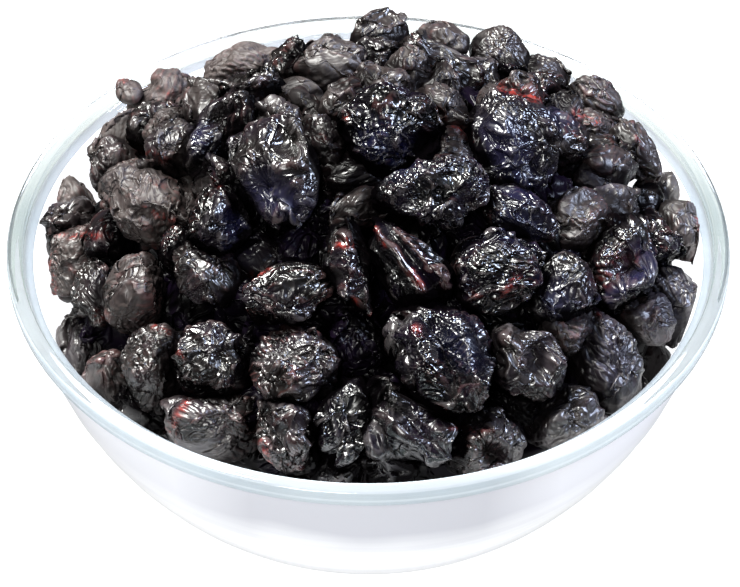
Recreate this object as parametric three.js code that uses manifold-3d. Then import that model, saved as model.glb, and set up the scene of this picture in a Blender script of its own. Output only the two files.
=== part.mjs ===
// A bowl of dried sour cherries: a small pressed-glass bowl, filled with whole dried cherries and heaped above its rim.
// Millimetres, +Z up. The origin is the middle of the bowl's foot, on the surface that it stands on, and -Y is the front.
import * as THREE from "three";
import { mergeVertices } from "three/addons/utils/BufferGeometryUtils.js";
import Module from "manifold-3d";

const wasm = await Module();
wasm.setup();

// The bowl
const RIM_RADIUS = 60;
const BOWL_HEIGHT = 52;
const LIP_HEIGHT = 3.2; // the thick clear lip round the rim
const LIP_THICKNESS = 2.6;
const LIP_ROUND = 1.1;
const BODY_RADIUS = 58.4; // the widest the curved wall would be, just above the rim
const BODY_DEPTH = 64.4; // from there down to where its curve would close
const BODY_CENTRE = BOWL_HEIGHT + 5.4;
const WALL = 2.2;
const FLOOR = 4.4; // thickness of the glass under the cherries
const FOOT_RADIUS = 27;
const FOOT_WIDTH = 4.5;
const FOOT_HEIGHT = 1.2;
const FOOT_RECESS = 0.8;
const BOWL_SIDES = 48;
const WALL_STEPS = 8;

// The heap: its top over the rim, and how wide the dome would be at the rim's level
const HEAP_HEIGHT = 30;
const HEAP_RADIUS = 52;
const SINK = 5; // a cherry's middle lies this far under the dome
// Behind its top the heap falls away faster, most of all in a dip on the left
const BACK_DROP = 5;
const BACK_FROM = 10;
const BACK_TO = 36;
const DIP = { x: -18, y: 36, depth: 4, reach: 17 };
const SPLIT_HEIGHT = 40; // the heaped cherries reach down to here, and those packed in the bowl up to just under it
const CLEAR = 0.45; // from a cherry to the glass
const OVER_RIM = 1; // above the rim by this much, a cherry may reach out to OUTERMOST from the axis
const OUTERMOST = 57.2;
const PIECE_GAP = 0.4; // from the heaped cherries down to those that they lie on

// Each cherry that shows from the front: the middle of it in a picture of 740 by 587 pixels, its length and width in
// millimetres, the turn of its length in the picture in degrees, counter-clockwise from level, and how far it stands out
// of the dome in millimetres.
const SEEN = [
  [156, 101, 12.5, 10, 10, 0],
  [127, 147, 12.5, 12, 60, 0],
  [172, 140, 11, 10, 90, -1],
  [245, 74, 16, 12, 10, 0],
  [330, 66, 13, 11, 20, 1],
  [225, 142, 16.5, 12, 75, 2],
  [279, 172, 20, 14.5, 100, 4],
  [222, 222, 12, 11, 60, 3],
  [70, 203, 10.5, 8, 100, 0],
  [122, 188, 12, 9, 40, 0],
  [152, 212, 17, 15, 120, 1],
  [76, 268, 14, 11, 95, 0],
  [138, 291, 14, 12, 50, 2],
  [205, 275, 12, 10, 160, 1],
  [284, 296, 16, 11, 15, 1],
  [352, 262, 16, 8, 110, 2],
  [352, 178, 11, 8, 10, 0],
  [316, 132, 9, 9, 80, -3],
  [393, 127, 19, 16, 0, 4],
  [376, 43, 14, 11, 80, 1],
  [408, 73, 10, 9, 60, 1],
  [447, 42, 10, 8, 150, 1],
  [496, 58, 12, 11, 150, 1],
  [441, 88, 10, 7, 80, 0],
  [482, 84, 10, 9, 80, -2],
  [545, 77, 10, 8, 130, -1],
  [513, 144, 20, 15.5, 115, 4],
  [563, 113, 8, 7.5, 80, 1],
  [596, 101, 12.5, 10, 150, 1],
  [602, 134, 11, 9, 20, 0],
  [632, 152, 13, 9, 130, 4],
  [602, 172, 15, 10, 20, 1],
  [664, 194, 9, 7, 70, 1],
  [691, 226, 12.5, 8, 100, 5],
  [672, 305, 15.5, 10.5, 75, 0],
  [580, 222, 14, 11, 30, 0],
  [622, 262, 18, 12, 55, 2],
  [432, 192, 19, 11.5, 12, 4],
  [515, 218, 14, 9, 140, 2],
  [494, 273, 15.5, 13.5, 20, 3],
  [558, 289, 14, 10.5, 60, 3],
  [405, 268, 20, 10.5, 130, 2],
  [90, 346, 12, 8.5, 110, -2],
  [120, 386, 14, 10, 130, -2],
  [157, 362, 14, 11, 60, 1],
  [212, 360, 15, 12, 165, 2],
  [137, 408, 13, 10, 150, -2],
  [208, 426, 15.5, 13, 170, 0],
  [287, 436, 13.5, 11, 110, 0],
  [293, 368, 15.5, 12, 160, 1],
  [345, 418, 15, 10, 70, 1],
  [342, 466, 11, 9, 10, -3],
  [283, 326, 13, 9, 0, -4],
  [444, 358, 20, 15.5, 125, 3],
  [527, 366, 14.5, 12, 150, 3],
  [606, 362, 17, 12.5, 110, 2],
  [412, 420, 17, 12, 140, 1],
  [484, 442, 15, 12, 20, -1],
  [566, 420, 15, 11, 35, 0],
  [385, 462, 11, 9, 170, -3],
  [622, 404, 12, 9, 45, -3],
  [512, 408, 13, 9, 170, -3],
  [250, 262, 13, 9, 150, -3],
  [330, 218, 12, 10, 40, -5],
  [470, 232, 11, 9, 0, -5],
  [445, 302, 12, 9, 0, -5],
  [550, 195, 11, 9, 90, -5],
  [640, 210, 13, 10, 40, -3],
  [352, 345, 13, 11, 80, -4],
  [250, 406, 10, 9, 0, -4],
  [298, 250, 13, 10, 20, -5],
  [460, 110, 10, 9, 80, -4],
  [205, 125, 10, 9, 90, -5],
  [655, 240, 11, 9, 80, -4],
  [129, 90, 7, 3.6, 127, 0],
  [298, 97, 12, 8, 20, -1],
  [346, 108, 12, 9, 55, 0],
];

// Where that picture was taken from: the middle of the frame looks at AIM
const FRAME = { width: 740, height: 587 };
const VIEW_ELEVATION = THREE.MathUtils.degToRad(42.76);
const VIEW_DISTANCE = 400;
const FOCAL_PIXELS = 2339;
const AIM = new THREE.Vector3(0.3, 0, 36.9);
const TO_EYE = new THREE.Vector3(0, -Math.cos(VIEW_ELEVATION), Math.sin(VIEW_ELEVATION));
const EYE = TO_EYE.clone().multiplyScalar(VIEW_DISTANCE).add(AIM);
const PICTURE_RIGHT = new THREE.Vector3(1, 0, 0);
const PICTURE_UP = new THREE.Vector3(0, Math.sin(VIEW_ELEVATION), Math.cos(VIEW_ELEVATION));

// The cherries that don't show from there are laid out by a golden-angle spiral, over the dome and down the bowl's wall
const GOLDEN_ANGLE = Math.PI * (3 - Math.sqrt(5));
const DOME_PLACES = 420;
const REACH = 50; // the farthest that the middle of a cherry on the spiral lies from the bowl's axis
const WALL_COUNT = 52;
const WALL_BOTTOM = FLOOR + 5;
const WALL_TOP = 36;
const WALL_INSET = 4.6; // from the glass to the middle of a cherry that lies against it
const WALL_LEAN = -0.4; // how far down those cherries face
const CROWDED = 0.58; // a place nearer to a cherry than this share of their two half-widths together is left empty

// The hidden middle of each pile, which its cherries stand out of
const CORE_INSET = 5;
const CORE_DOME_INSET = SINK + 2.5;
const CORE_LEVELS = [14, 24];
const CORE_RADII = [49, 42, 33, 23, 12];
const CORE_SLOPE = 3; // the core's side is the wall's curve from this much lower
const CORE_LEAST = 0.1; // the least share of its own height that the heap's middle keeps where it falls away
const CORE_SIDES = 24;
const CORE_MIDDLE = new THREE.Vector3(0, 0, 40);
const ROOT = 5; // how far the inner side of each cherry is drawn out towards the middle, into the core

const FINER_FROM = 7; // cherries that show and have a longer half than this get more sides
const SIMPLER = 0.25; // the merged solids are simplified by up to this much

// Seeded draws: Lehmer's generator, whose whole numbers stay exact in double precision
const SEED = 20260;
const MULTIPLIER = 48271;
const MODULUS = 2147483647;
let state = SEED;

function draw(low = 0, high = 1) {
  state = (state * MULTIPLIER) % MODULUS;
  return low + ((high - low) * state) / MODULUS;
}

function drawDirection() {
  const z = draw(-1, 1);
  const angle = draw(0, 2 * Math.PI);
  const flat = Math.sqrt(1 - z * z);
  return new THREE.Vector3(flat * Math.cos(angle), flat * Math.sin(angle), z);
}

// The curved wall's radius at a height, inset from the outside by a thickness
function wallRadius(z, inset) {
  const share = Math.min(0, z - BODY_CENTRE) / (BODY_DEPTH - inset);
  return (BODY_RADIUS - inset) * Math.sqrt(Math.max(0, 1 - share * share));
}

const domeHeight = (x, y) => BOWL_HEIGHT + HEAP_HEIGHT * (1 - (x * x + y * y) / HEAP_RADIUS ** 2);

// How much lower the heap lies behind its top
function lean(x, y) {
  const dip = DIP.depth * Math.exp(-((x - DIP.x) ** 2 + (y - DIP.y) ** 2) / DIP.reach ** 2);
  return BACK_DROP * THREE.MathUtils.smoothstep(y, BACK_FROM, BACK_TO) + dip;
}

function domeNormal(x, y) {
  const steep = (2 * HEAP_HEIGHT) / HEAP_RADIUS ** 2;
  return new THREE.Vector3(steep * x, steep * y, 1).normalize();
}

// A closed profile of [radius, height] points, turned round the upright axis
function turned(profile, sides) {
  const points = profile.map(([r, z]) => new THREE.Vector2(r, z));
  return new THREE.LatheGeometry(points, sides).rotateX(Math.PI / 2);
}

function solid(geometry) {
  const bare = geometry.index ? geometry.toNonIndexed() : geometry.clone();
  bare.deleteAttribute("normal");
  bare.deleteAttribute("uv");
  const merged = mergeVertices(bare, 1e-3);
  const made = new wasm.Mesh({
    numProp: 3,
    vertProperties: new Float32Array(merged.attributes.position.array),
    triVerts: new Uint32Array(merged.index.array),
  });
  return new wasm.Manifold(made);
}

function geometryOf(manifold) {
  const mesh = manifold.getMesh();
  const geometry = new THREE.BufferGeometry();
  geometry.setAttribute("position", new THREE.BufferAttribute(mesh.vertProperties, 3));
  geometry.setIndex(new THREE.BufferAttribute(mesh.triVerts, 1));
  geometry.computeVertexNormals();
  return geometry;
}

// The bowl's outside from the foot to the lip, over the rim, and down its inside to the floor
function bowlProfile() {
  const lipBottom = BOWL_HEIGHT - LIP_HEIGHT;
  const outside = [
    [0, FOOT_RECESS],
    [FOOT_RADIUS - FOOT_WIDTH - 1, FOOT_RECESS],
    [FOOT_RADIUS - FOOT_WIDTH, 0],
    [FOOT_RADIUS, 0],
  ];
  const inside = [];
  for (let i = 0; i <= WALL_STEPS; i++) {
    // Even steps along the curve's angle, which are short near the foot where it turns most
    const share = i / WALL_STEPS;
    const outer = THREE.MathUtils.lerp(FOOT_HEIGHT, lipBottom - 0.4, share ** 1.4);
    const inner = THREE.MathUtils.lerp(FLOOR, lipBottom + 0.6, share ** 1.4);
    outside.push([wallRadius(outer, 0), outer]);
    inside.push([wallRadius(inner, WALL), inner]);
  }
  const lip = [
    [RIM_RADIUS - 0.5, lipBottom],
    [RIM_RADIUS, lipBottom + 0.6],
    [RIM_RADIUS, BOWL_HEIGHT - LIP_ROUND],
    [RIM_RADIUS - 0.35, BOWL_HEIGHT - 0.35],
    [RIM_RADIUS - LIP_ROUND, BOWL_HEIGHT],
    [RIM_RADIUS - LIP_THICKNESS + 0.8, BOWL_HEIGHT],
    [RIM_RADIUS - LIP_THICKNESS, BOWL_HEIGHT - 0.8],
    [RIM_RADIUS - LIP_THICKNESS, lipBottom + 1.4],
  ];
  return [...outside, ...lip, ...inside.reverse(), [0, FLOOR]];
}

// The broad form of a cherry: a flattened ellipsoid, drawn in at the stem's hollow and along three sunken folds.
// Every size is drawn in a fixed order.
function drawForm() {
  const hollow = { at: drawDirection(), depth: draw(0.15, 0.38), width: draw(0.3, 0.55) };
  const folds = [];
  for (let i = 0; i < 3; i++) {
    const across = drawDirection();
    const at = drawDirection();
    folds.push({ across, at, depth: draw(0.1, 0.3), width: draw(0.1, 0.22) });
  }
  return { hollow, folds };
}

function sunken(direction, form) {
  const { hollow, folds } = form;
  let share = 1 - hollow.depth * Math.exp((direction.dot(hollow.at) - 1) / hollow.width ** 2);
  for (const fold of folds) {
    const off = direction.dot(fold.across) / fold.width;
    share -= fold.depth * Math.exp(-off * off) * Math.max(0, direction.dot(fold.at));
  }
  return share;
}

// Presses a point in from the glass, which the cherries lie against
function keepInside(point) {
  point.z = Math.max(point.z, FLOOR + CLEAR);
  const limit = point.z > BOWL_HEIGHT + OVER_RIM ? OUTERMOST : wallRadius(point.z, WALL) - CLEAR;
  const radius = Math.hypot(point.x, point.y);
  if (radius > limit) {
    point.x *= limit / radius;
    point.y *= limit / radius;
  }
}

// A cherry's solid from its middle, axes, size and form: the large ones that show have the most sides
function cherrySolid(cherry) {
  const finer = cherry.shows && cherry.half[0] > FINER_FROM;
  const geometry = finer ? new THREE.IcosahedronGeometry(1, 1) : new THREE.OctahedronGeometry(1, 1);
  geometry.deleteAttribute("normal");
  geometry.deleteAttribute("uv");
  const round = mergeVertices(geometry, 1e-4);
  const position = round.attributes.position;
  const direction = new THREE.Vector3();
  const point = new THREE.Vector3();
  const inward = CORE_MIDDLE.clone().sub(cherry.middle).normalize();
  for (let i = 0; i < position.count; i++) {
    direction.fromBufferAttribute(position, i);
    const share = sunken(direction, cherry.form);
    point.set(0, 0, 0);
    point.addScaledVector(cherry.axes[0], cherry.half[0] * direction.x * share);
    point.addScaledVector(cherry.axes[1], cherry.half[1] * direction.y * share);
    point.addScaledVector(cherry.axes[2], cherry.half[2] * direction.z * share);
    const deep = Math.max(0, point.dot(inward)) / cherry.half[2];
    point.add(cherry.middle).addScaledVector(inward, ROOT * Math.min(1, deep));
    keepInside(point);
    position.setXYZ(i, point.x, point.y, point.z);
  }
  return solid(round);
}

// Three axes at right angles: the third along thin, and the first as near to long as that leaves
function axesFrom(long, thin) {
  const third = thin.clone().normalize();
  const first = long.clone().addScaledVector(third, -long.dot(third)).normalize();
  return [first, third.clone().cross(first), third];
}

// Moves a middle in until the cherry's side is no farther out than it may be
function pullIn(middle, width) {
  const shorter = Math.min(1, (OUTERMOST - width / 2) / Math.hypot(middle.x, middle.y));
  middle.x *= shorter;
  middle.y *= shorter;
  return middle;
}

// The middle of a cherry that shows: where the sight line through its pixel meets the dome of middles, or passes nearest
function onSightLine(x, y, lift, width) {
  const along = TO_EYE.clone().negate();
  along.addScaledVector(PICTURE_RIGHT, (x - FRAME.width / 2) / FOCAL_PIXELS);
  along.addScaledVector(PICTURE_UP, (FRAME.height / 2 - y) / FOCAL_PIXELS);
  along.normalize();
  const above = (distance) => {
    const p = EYE.clone().addScaledVector(along, distance);
    return p.z - (domeHeight(p.x, p.y) - SINK + lift);
  };
  const [near, far, step] = [300, 500, 0.25];
  let best = near;
  for (let distance = near; distance < far; distance += step) {
    if (above(distance) < above(best)) best = distance;
    if (above(distance) <= 0) break;
  }
  return pullIn(EYE.clone().addScaledVector(along, best), width);
}

function seenCherries() {
  return SEEN.map(([x, y, length, width, turn, lift]) => {
    const middle = onSightLine(x, y, lift, width);
    const angle = THREE.MathUtils.degToRad(turn);
    const long = PICTURE_RIGHT.clone().multiplyScalar(Math.cos(angle));
    long.addScaledVector(PICTURE_UP, Math.sin(angle));
    const thin = TO_EYE.clone().add(domeNormal(middle.x, middle.y));
    const thickness = width * draw(0.72, 0.92);
    const form = drawForm();
    const half = [length / 2, width / 2, thickness / 2];
    return { middle, axes: axesFrom(long, thin), half, form, shows: true };
  });
}

// A cherry of a drawn size, lying with its thin way roughly along out
function drawnCherry(middle, out) {
  const thin = out.clone().addScaledVector(drawDirection(), 0.6);
  const long = drawDirection();
  const length = draw(12, 15.5);
  const width = length * draw(0.78, 0.95);
  const thickness = width * draw(0.72, 0.92);
  const form = drawForm();
  return { middle, axes: axesFrom(long, thin), half: [length / 2, width / 2, thickness / 2], form };
}

// The rest of the dome: the places on a close spiral that no cherry takes yet
function domeCherries(seen) {
  const placed = [...seen];
  for (let i = 0; i < DOME_PLACES; i++) {
    const radius = REACH * Math.sqrt((i + 0.5) / DOME_PLACES);
    const angle = i * GOLDEN_ANGLE;
    const [x, y] = [radius * Math.cos(angle), radius * Math.sin(angle)];
    const middle = new THREE.Vector3(x, y, domeHeight(x, y) - SINK - lean(x, y) + draw(-1, 1));
    const cherry = drawnCherry(middle, domeNormal(x, y));
    const width = (one) => (one.half[0] + one.half[1]) / 2;
    const crowded = (other) => other.middle.distanceTo(middle) < CROWDED * (width(other) + width(cherry));
    if (!placed.some(crowded)) placed.push(cherry);
  }
  return placed.slice(seen.length);
}

// The cherries that lie against the glass, from the floor up to just under the heap, evenly by height
function wallCherries() {
  const made = [];
  for (let i = 0; i < WALL_COUNT; i++) {
    const z = THREE.MathUtils.lerp(WALL_BOTTOM, WALL_TOP, Math.sqrt((i + 0.5) / WALL_COUNT));
    const angle = i * GOLDEN_ANGLE;
    const radius = wallRadius(z, WALL) - CLEAR - WALL_INSET;
    const middle = new THREE.Vector3(radius * Math.cos(angle), radius * Math.sin(angle), z + draw(-1, 1));
    const out = new THREE.Vector3(Math.cos(angle), Math.sin(angle), WALL_LEAN).normalize();
    made.push(drawnCherry(middle, out));
  }
  return made;
}

function lowerCore() {
  const top = SPLIT_HEIGHT - PIECE_GAP;
  const profile = [[0, FLOOR + CLEAR]];
  for (const z of [FLOOR + CLEAR, ...CORE_LEVELS, top]) {
    profile.push([wallRadius(z + CORE_SLOPE, WALL) - CORE_INSET, z]);
  }
  profile.push([0, top]);
  return solid(turned(profile, CORE_SIDES));
}

// The upper middle keeps its flat foot, and its dome falls away behind as the heap does
function upperCore() {
  const profile = [[0, SPLIT_HEIGHT]];
  profile.push([wallRadius(SPLIT_HEIGHT + CORE_SLOPE, WALL) - CORE_INSET, SPLIT_HEIGHT]);
  for (const radius of CORE_RADII) {
    profile.push([radius, domeHeight(radius, 0) - CORE_DOME_INSET]);
  }
  profile.push([0, domeHeight(0, 0) - CORE_DOME_INSET]);
  const geometry = turned(profile, CORE_SIDES);
  const position = geometry.attributes.position;
  for (let i = 0; i < position.count; i++) {
    const height = position.getZ(i) - SPLIT_HEIGHT;
    const lowered = height - lean(position.getX(i), position.getY(i));
    if (height > 0) position.setZ(i, SPLIT_HEIGHT + Math.max(CORE_LEAST * height, lowered));
  }
  return solid(geometry);
}

// The largest body of a manifold, without the loose scraps that a cut leaves
function largest(manifold) {
  return manifold.decompose().reduce((a, b) => (a.volume() > b.volume() ? a : b));
}

const glass = new THREE.MeshStandardMaterial({
  color: new THREE.Color(0.86, 0.89, 0.9),
  roughness: 0.12,
  metalness: 0,
  transparent: true,
  opacity: 0.8,
});
const skin = new THREE.MeshStandardMaterial({
  color: new THREE.Color(0.035, 0.018, 0.024),
  roughness: 0.35,
  metalness: 0,
});

function addPiece(group, name, geometry, material) {
  const mesh = new THREE.Mesh(geometry, material);
  mesh.name = name;
  group.add(mesh);
}

const seen = seenCherries();
const unseen = domeCherries(seen);
const heaped = [...seen, ...unseen];
const packed = wallCherries();

const heap = wasm.Manifold.union([upperCore(), ...heaped.map(cherrySolid)]);
const filling = wasm.Manifold.union([lowerCore(), ...packed.map(cherrySolid)]);
const above = heap.trimByPlane([0, 0, 1], SPLIT_HEIGHT);
const below = filling.trimByPlane([0, 0, -1], PIECE_GAP - SPLIT_HEIGHT);

const bowlOfCherries = new THREE.Group();
bowlOfCherries.name = "bowl_of_dried_sour_cherries";
addPiece(bowlOfCherries, "glass_bowl", turned(bowlProfile(), BOWL_SIDES), glass);
addPiece(bowlOfCherries, "cherries_in_bowl", geometryOf(largest(below.simplify(SIMPLER))), skin);
addPiece(bowlOfCherries, "cherries_heaped", geometryOf(largest(above.simplify(SIMPLER))), skin);

export default bowlOfCherries;
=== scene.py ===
"""A bowl of dried sour cherries: wrinkled cherries in a pressed-glass bowl, heaped above its rim.

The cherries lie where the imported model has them. Sizes in the tables are millimetres, with the origin in
the middle of the bowl's foot, +Z up and -Y to the front; the meshes are made in metres.
"""
import math
from collections import namedtuple

import bpy
import numpy as np
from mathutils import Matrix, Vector


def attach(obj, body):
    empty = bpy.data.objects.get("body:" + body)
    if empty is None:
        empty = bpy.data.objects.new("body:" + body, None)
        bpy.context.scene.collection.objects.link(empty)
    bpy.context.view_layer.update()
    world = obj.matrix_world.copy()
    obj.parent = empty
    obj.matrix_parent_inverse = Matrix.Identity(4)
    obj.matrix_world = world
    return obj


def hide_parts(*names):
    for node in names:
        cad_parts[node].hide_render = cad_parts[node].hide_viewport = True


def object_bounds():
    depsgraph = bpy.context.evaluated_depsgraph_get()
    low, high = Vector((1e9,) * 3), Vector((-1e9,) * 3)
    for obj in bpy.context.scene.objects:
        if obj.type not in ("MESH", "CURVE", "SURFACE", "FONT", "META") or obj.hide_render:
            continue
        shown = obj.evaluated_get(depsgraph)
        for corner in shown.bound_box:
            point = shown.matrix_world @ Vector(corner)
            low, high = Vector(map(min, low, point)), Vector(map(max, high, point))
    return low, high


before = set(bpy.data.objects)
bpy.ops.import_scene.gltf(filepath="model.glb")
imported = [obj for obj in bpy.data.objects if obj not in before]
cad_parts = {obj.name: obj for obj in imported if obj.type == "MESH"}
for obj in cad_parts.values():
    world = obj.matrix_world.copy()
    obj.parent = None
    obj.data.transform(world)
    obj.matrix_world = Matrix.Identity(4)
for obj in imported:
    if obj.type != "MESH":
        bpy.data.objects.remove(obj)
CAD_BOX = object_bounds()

bl_info = {
    "name": "Bowl of dried sour cherries",
    "version": (1, 0, 0),
    "blender": (4, 5, 0),
    "location": "3D View > Sidebar > Cherry bowl",
    "description": "A glass bowl heaped with wrinkled dried sour cherries",
    "category": "Add Mesh",
}

MM = 0.001

# The heap: its top over the rim, and how wide the dome would be at the rim's level
HEAP_HEIGHT = 30.0
HEAP_RADIUS = 52.0
SINK = 5.0  # a cherry's middle lies this far under the dome
# Behind its top the heap falls away faster, most of all in a dip on the left
BACK_DROP = 5.0
BACK_FROM, BACK_TO = 10.0, 36.0
DIP_X, DIP_Y, DIP_DEPTH, DIP_REACH = -18.0, 36.0, 4.0, 17.0
CLEAR = 0.45  # from a cherry to the glass
OVER_RIM = 1.0  # above the rim by this much, a cherry may reach out to OUTERMOST from the axis
OUTERMOST = 57.2

# Each cherry that shows from the front: the middle of it in a picture of 740 by 587 pixels, its length and
# width in millimetres, the turn of its length in the picture in degrees, counter-clockwise from level, and
# how far it stands out of the dome in millimetres.
SEEN = (
    (156, 101, 12.5, 10, 10, 0),
    (127, 147, 12.5, 12, 60, 0),
    (172, 140, 11, 10, 90, -1),
    (245, 74, 16, 12, 10, 0),
    (330, 66, 13, 11, 20, 1),
    (225, 142, 16.5, 12, 75, 2),
    (279, 172, 20, 14.5, 100, 4),
    (222, 222, 12, 11, 60, 3),
    (70, 203, 10.5, 8, 100, 0),
    (122, 188, 12, 9, 40, 0),
    (152, 212, 17, 15, 120, 1),
    (76, 268, 14, 11, 95, 0),
    (138, 291, 14, 12, 50, 2),
    (205, 275, 12, 10, 160, 1),
    (284, 296, 16, 11, 15, 1),
    (352, 262, 16, 8, 110, 2),
    (352, 178, 11, 8, 10, 0),
    (316, 132, 9, 9, 80, -3),
    (393, 127, 19, 16, 0, 4),
    (376, 43, 14, 11, 80, 1),
    (408, 73, 10, 9, 60, 1),
    (447, 42, 10, 8, 150, 1),
    (496, 58, 12, 11, 150, 1),
    (441, 88, 10, 7, 80, 0),
    (482, 84, 10, 9, 80, -2),
    (545, 77, 10, 8, 130, -1),
    (513, 144, 20, 15.5, 115, 4),
    (563, 113, 8, 7.5, 80, 1),
    (596, 101, 12.5, 10, 150, 1),
    (602, 134, 11, 9, 20, 0),
    (632, 152, 13, 9, 130, 4),
    (602, 172, 15, 10, 20, 1),
    (664, 194, 9, 7, 70, 1),
    (691, 226, 12.5, 8, 100, 5),
    (672, 305, 15.5, 10.5, 75, 0),
    (580, 222, 14, 11, 30, 0),
    (622, 262, 18, 12, 55, 2),
    (432, 192, 19, 11.5, 12, 4),
    (515, 218, 14, 9, 140, 2),
    (494, 273, 15.5, 13.5, 20, 3),
    (558, 289, 14, 10.5, 60, 3),
    (405, 268, 20, 10.5, 130, 2),
    (90, 346, 12, 8.5, 110, -2),
    (120, 386, 14, 10, 130, -2),
    (157, 362, 14, 11, 60, 1),
    (212, 360, 15, 12, 165, 2),
    (137, 408, 13, 10, 150, -2),
    (208, 426, 15.5, 13, 170, 0),
    (287, 436, 13.5, 11, 110, 0),
    (293, 368, 15.5, 12, 160, 1),
    (345, 418, 15, 10, 70, 1),
    (342, 466, 11, 9, 10, -3),
    (283, 326, 13, 9, 0, -4),
    (444, 358, 20, 15.5, 125, 3),
    (527, 366, 14.5, 12, 150, 3),
    (606, 362, 17, 12.5, 110, 2),
    (412, 420, 17, 12, 140, 1),
    (484, 442, 15, 12, 20, -1),
    (566, 420, 15, 11, 35, 0),
    (385, 462, 11, 9, 170, -3),
    (622, 404, 12, 9, 45, -3),
    (512, 408, 13, 9, 170, -3),
    (250, 262, 13, 9, 150, -3),
    (330, 218, 12, 10, 40, -5),
    (470, 232, 11, 9, 0, -5),
    (445, 302, 12, 9, 0, -5),
    (550, 195, 11, 9, 90, -5),
    (640, 210, 13, 10, 40, -3),
    (352, 345, 13, 11, 80, -4),
    (250, 406, 10, 9, 0, -4),
    (298, 250, 13, 10, 20, -5),
    (460, 110, 10, 9, 80, -4),
    (205, 125, 10, 9, 90, -5),
    (655, 240, 11, 9, 80, -4),
    (129, 90, 7, 3.6, 127, 0),
    (298, 97, 12, 8, 20, -1),
    (346, 108, 12, 9, 55, 0),
)

# Where that picture was taken from: the middle of the frame looks at AIM
FRAME_WIDTH, FRAME_HEIGHT = 740, 587
VIEW_ELEVATION = math.radians(42.76)
VIEW_DISTANCE = 400.0
FOCAL_PIXELS = 2339.0
SENSOR_WIDTH = 36.0
AIM = np.array([0.3, 0.0, 36.9])
TO_EYE = np.array([0.0, -math.cos(VIEW_ELEVATION), math.sin(VIEW_ELEVATION)])
EYE = AIM + VIEW_DISTANCE * TO_EYE
PICTURE_RIGHT = np.array([1.0, 0.0, 0.0])
PICTURE_UP = np.array([0.0, math.sin(VIEW_ELEVATION), math.cos(VIEW_ELEVATION)])
SIGHT_DISTANCES = np.arange(300, 500, 0.25)  # where a sight line is tried, from the eye

# The cherries that don't show from there lie on a golden-angle spiral, over the dome and down the bowl's wall
GOLDEN_ANGLE = math.pi * (3 - math.sqrt(5))
DOME_PLACES = 420
REACH = 50.0  # the farthest that the middle of a cherry on the spiral lies from the bowl's axis
WALL_COUNT = 52
WALL_FOOT = 5.0  # from the floor of glass up to the lowest middle
WALL_TOP = 36.0
WALL_INSET = 4.6  # from the glass to the middle of a cherry that lies against it
WALL_LEAN = -0.4  # how far down those cherries face
CROWDED = 0.58  # nearer to a cherry than this share of their two half-widths together, a place stays empty
SEED = 20260
MULTIPLIER = 48271
MODULUS = 2147483647

# A second layer, which shows in the gaps between the first, and the dark middle under both
UNDER_COUNT = 54
UNDER_REACH = 47.0
UNDER_SINK = SINK + 7.5
CORE_SINK = SINK + 9.0


class Draws:
    """Seeded draws: each whole number is the last one times MULTIPLIER, modulo MODULUS."""

    def __init__(self, seed):
        self.state = seed

    def between(self, low=0.0, high=1.0):
        self.state = (self.state * MULTIPLIER) % MODULUS
        return low + (high - low) * self.state / MODULUS

    def direction(self):
        z = self.between(-1, 1)
        angle = self.between(0, 2 * math.pi)
        flat = math.sqrt(1 - z * z)
        return np.array([flat * math.cos(angle), flat * math.sin(angle), z])


def unit(vectors):
    """Vectors over their lengths, along the last axis."""
    return vectors / np.maximum(np.linalg.norm(vectors, axis=-1, keepdims=True), 1e-12)


def smooth_step(value, low, high):
    """0 up to low and 1 from high on, with a smooth rise between them."""
    share = np.clip((value - low) / (high - low), 0, 1)
    return share * share * (3 - 2 * share)


def bell(off):
    """A bell curve's height, which is 1 in its middle, at a distance of so many of its widths."""
    return np.exp(-off * off)


def spiral(count):
    """The share of the radius and the angle of each place on a spiral that fills a disc evenly."""
    return [(math.sqrt((i + 0.5) / count), i * GOLDEN_ANGLE) for i in range(count)]


# The places of the cherries

def dome_height(x, y, rim):
    """The rim's height, plus the heap's height times one minus the squared share of its radius."""
    return rim + HEAP_HEIGHT * (1 - (x * x + y * y) / HEAP_RADIUS ** 2)


def lean(x, y):
    """How much lower the heap lies behind its top: a smooth step of y, plus a bell-shaped dip."""
    dip = DIP_DEPTH * bell(np.hypot(x - DIP_X, y - DIP_Y) / DIP_REACH)
    return BACK_DROP * smooth_step(y, BACK_FROM, BACK_TO) + dip


def dome_normal(x, y):
    steep = 2 * HEAP_HEIGHT / HEAP_RADIUS ** 2
    return unit(np.array([steep * x, steep * y, 1.0]))


# The outside of the wall is part of an ellipse: how much less wide it is than the lip, how far its middle
# lies over the rim, and how much longer its upright half-axis is than the bowl is high
BODY_INSET, BODY_RISE, BODY_EXTRA = 1.6, 5.4, 12.4


class Glass:
    """The bowl's sizes in millimetres, as the curves of its wall need them."""

    def __init__(self, sizes):
        self.rim_radius = sizes.rim_radius / MM
        self.height = sizes.height / MM
        self.lip_height = sizes.lip_height / MM
        self.lip_thickness = sizes.lip_thickness / MM
        self.wall = sizes.wall / MM
        self.floor = sizes.floor / MM
        self.foot_radius = sizes.foot_radius / MM
        self.body_radius = self.rim_radius - BODY_INSET
        self.body_depth = self.height + BODY_EXTRA
        self.body_centre = self.height + BODY_RISE

    def radius(self, z, inset):
        """An ellipse's half-width at a height under its middle, both half-axes shortened by the inset."""
        share = np.minimum(0, z - self.body_centre) / (self.body_depth - inset)
        return (self.body_radius - inset) * np.sqrt(np.maximum(0, 1 - share * share))

    def keep_inside(self, points):
        """Raises points to the floor, and draws each in to the wall's inner radius at its height."""
        points[..., 2] = np.maximum(points[..., 2], self.floor + CLEAR)
        inner = self.radius(points[..., 2], self.wall) - CLEAR
        limit = np.where(points[..., 2] > self.height + OVER_RIM, OUTERMOST, inner)
        radius = np.hypot(points[..., 0], points[..., 1])
        points[..., :2] *= np.minimum(1, limit / np.maximum(radius, 1e-9))[..., None]


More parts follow.
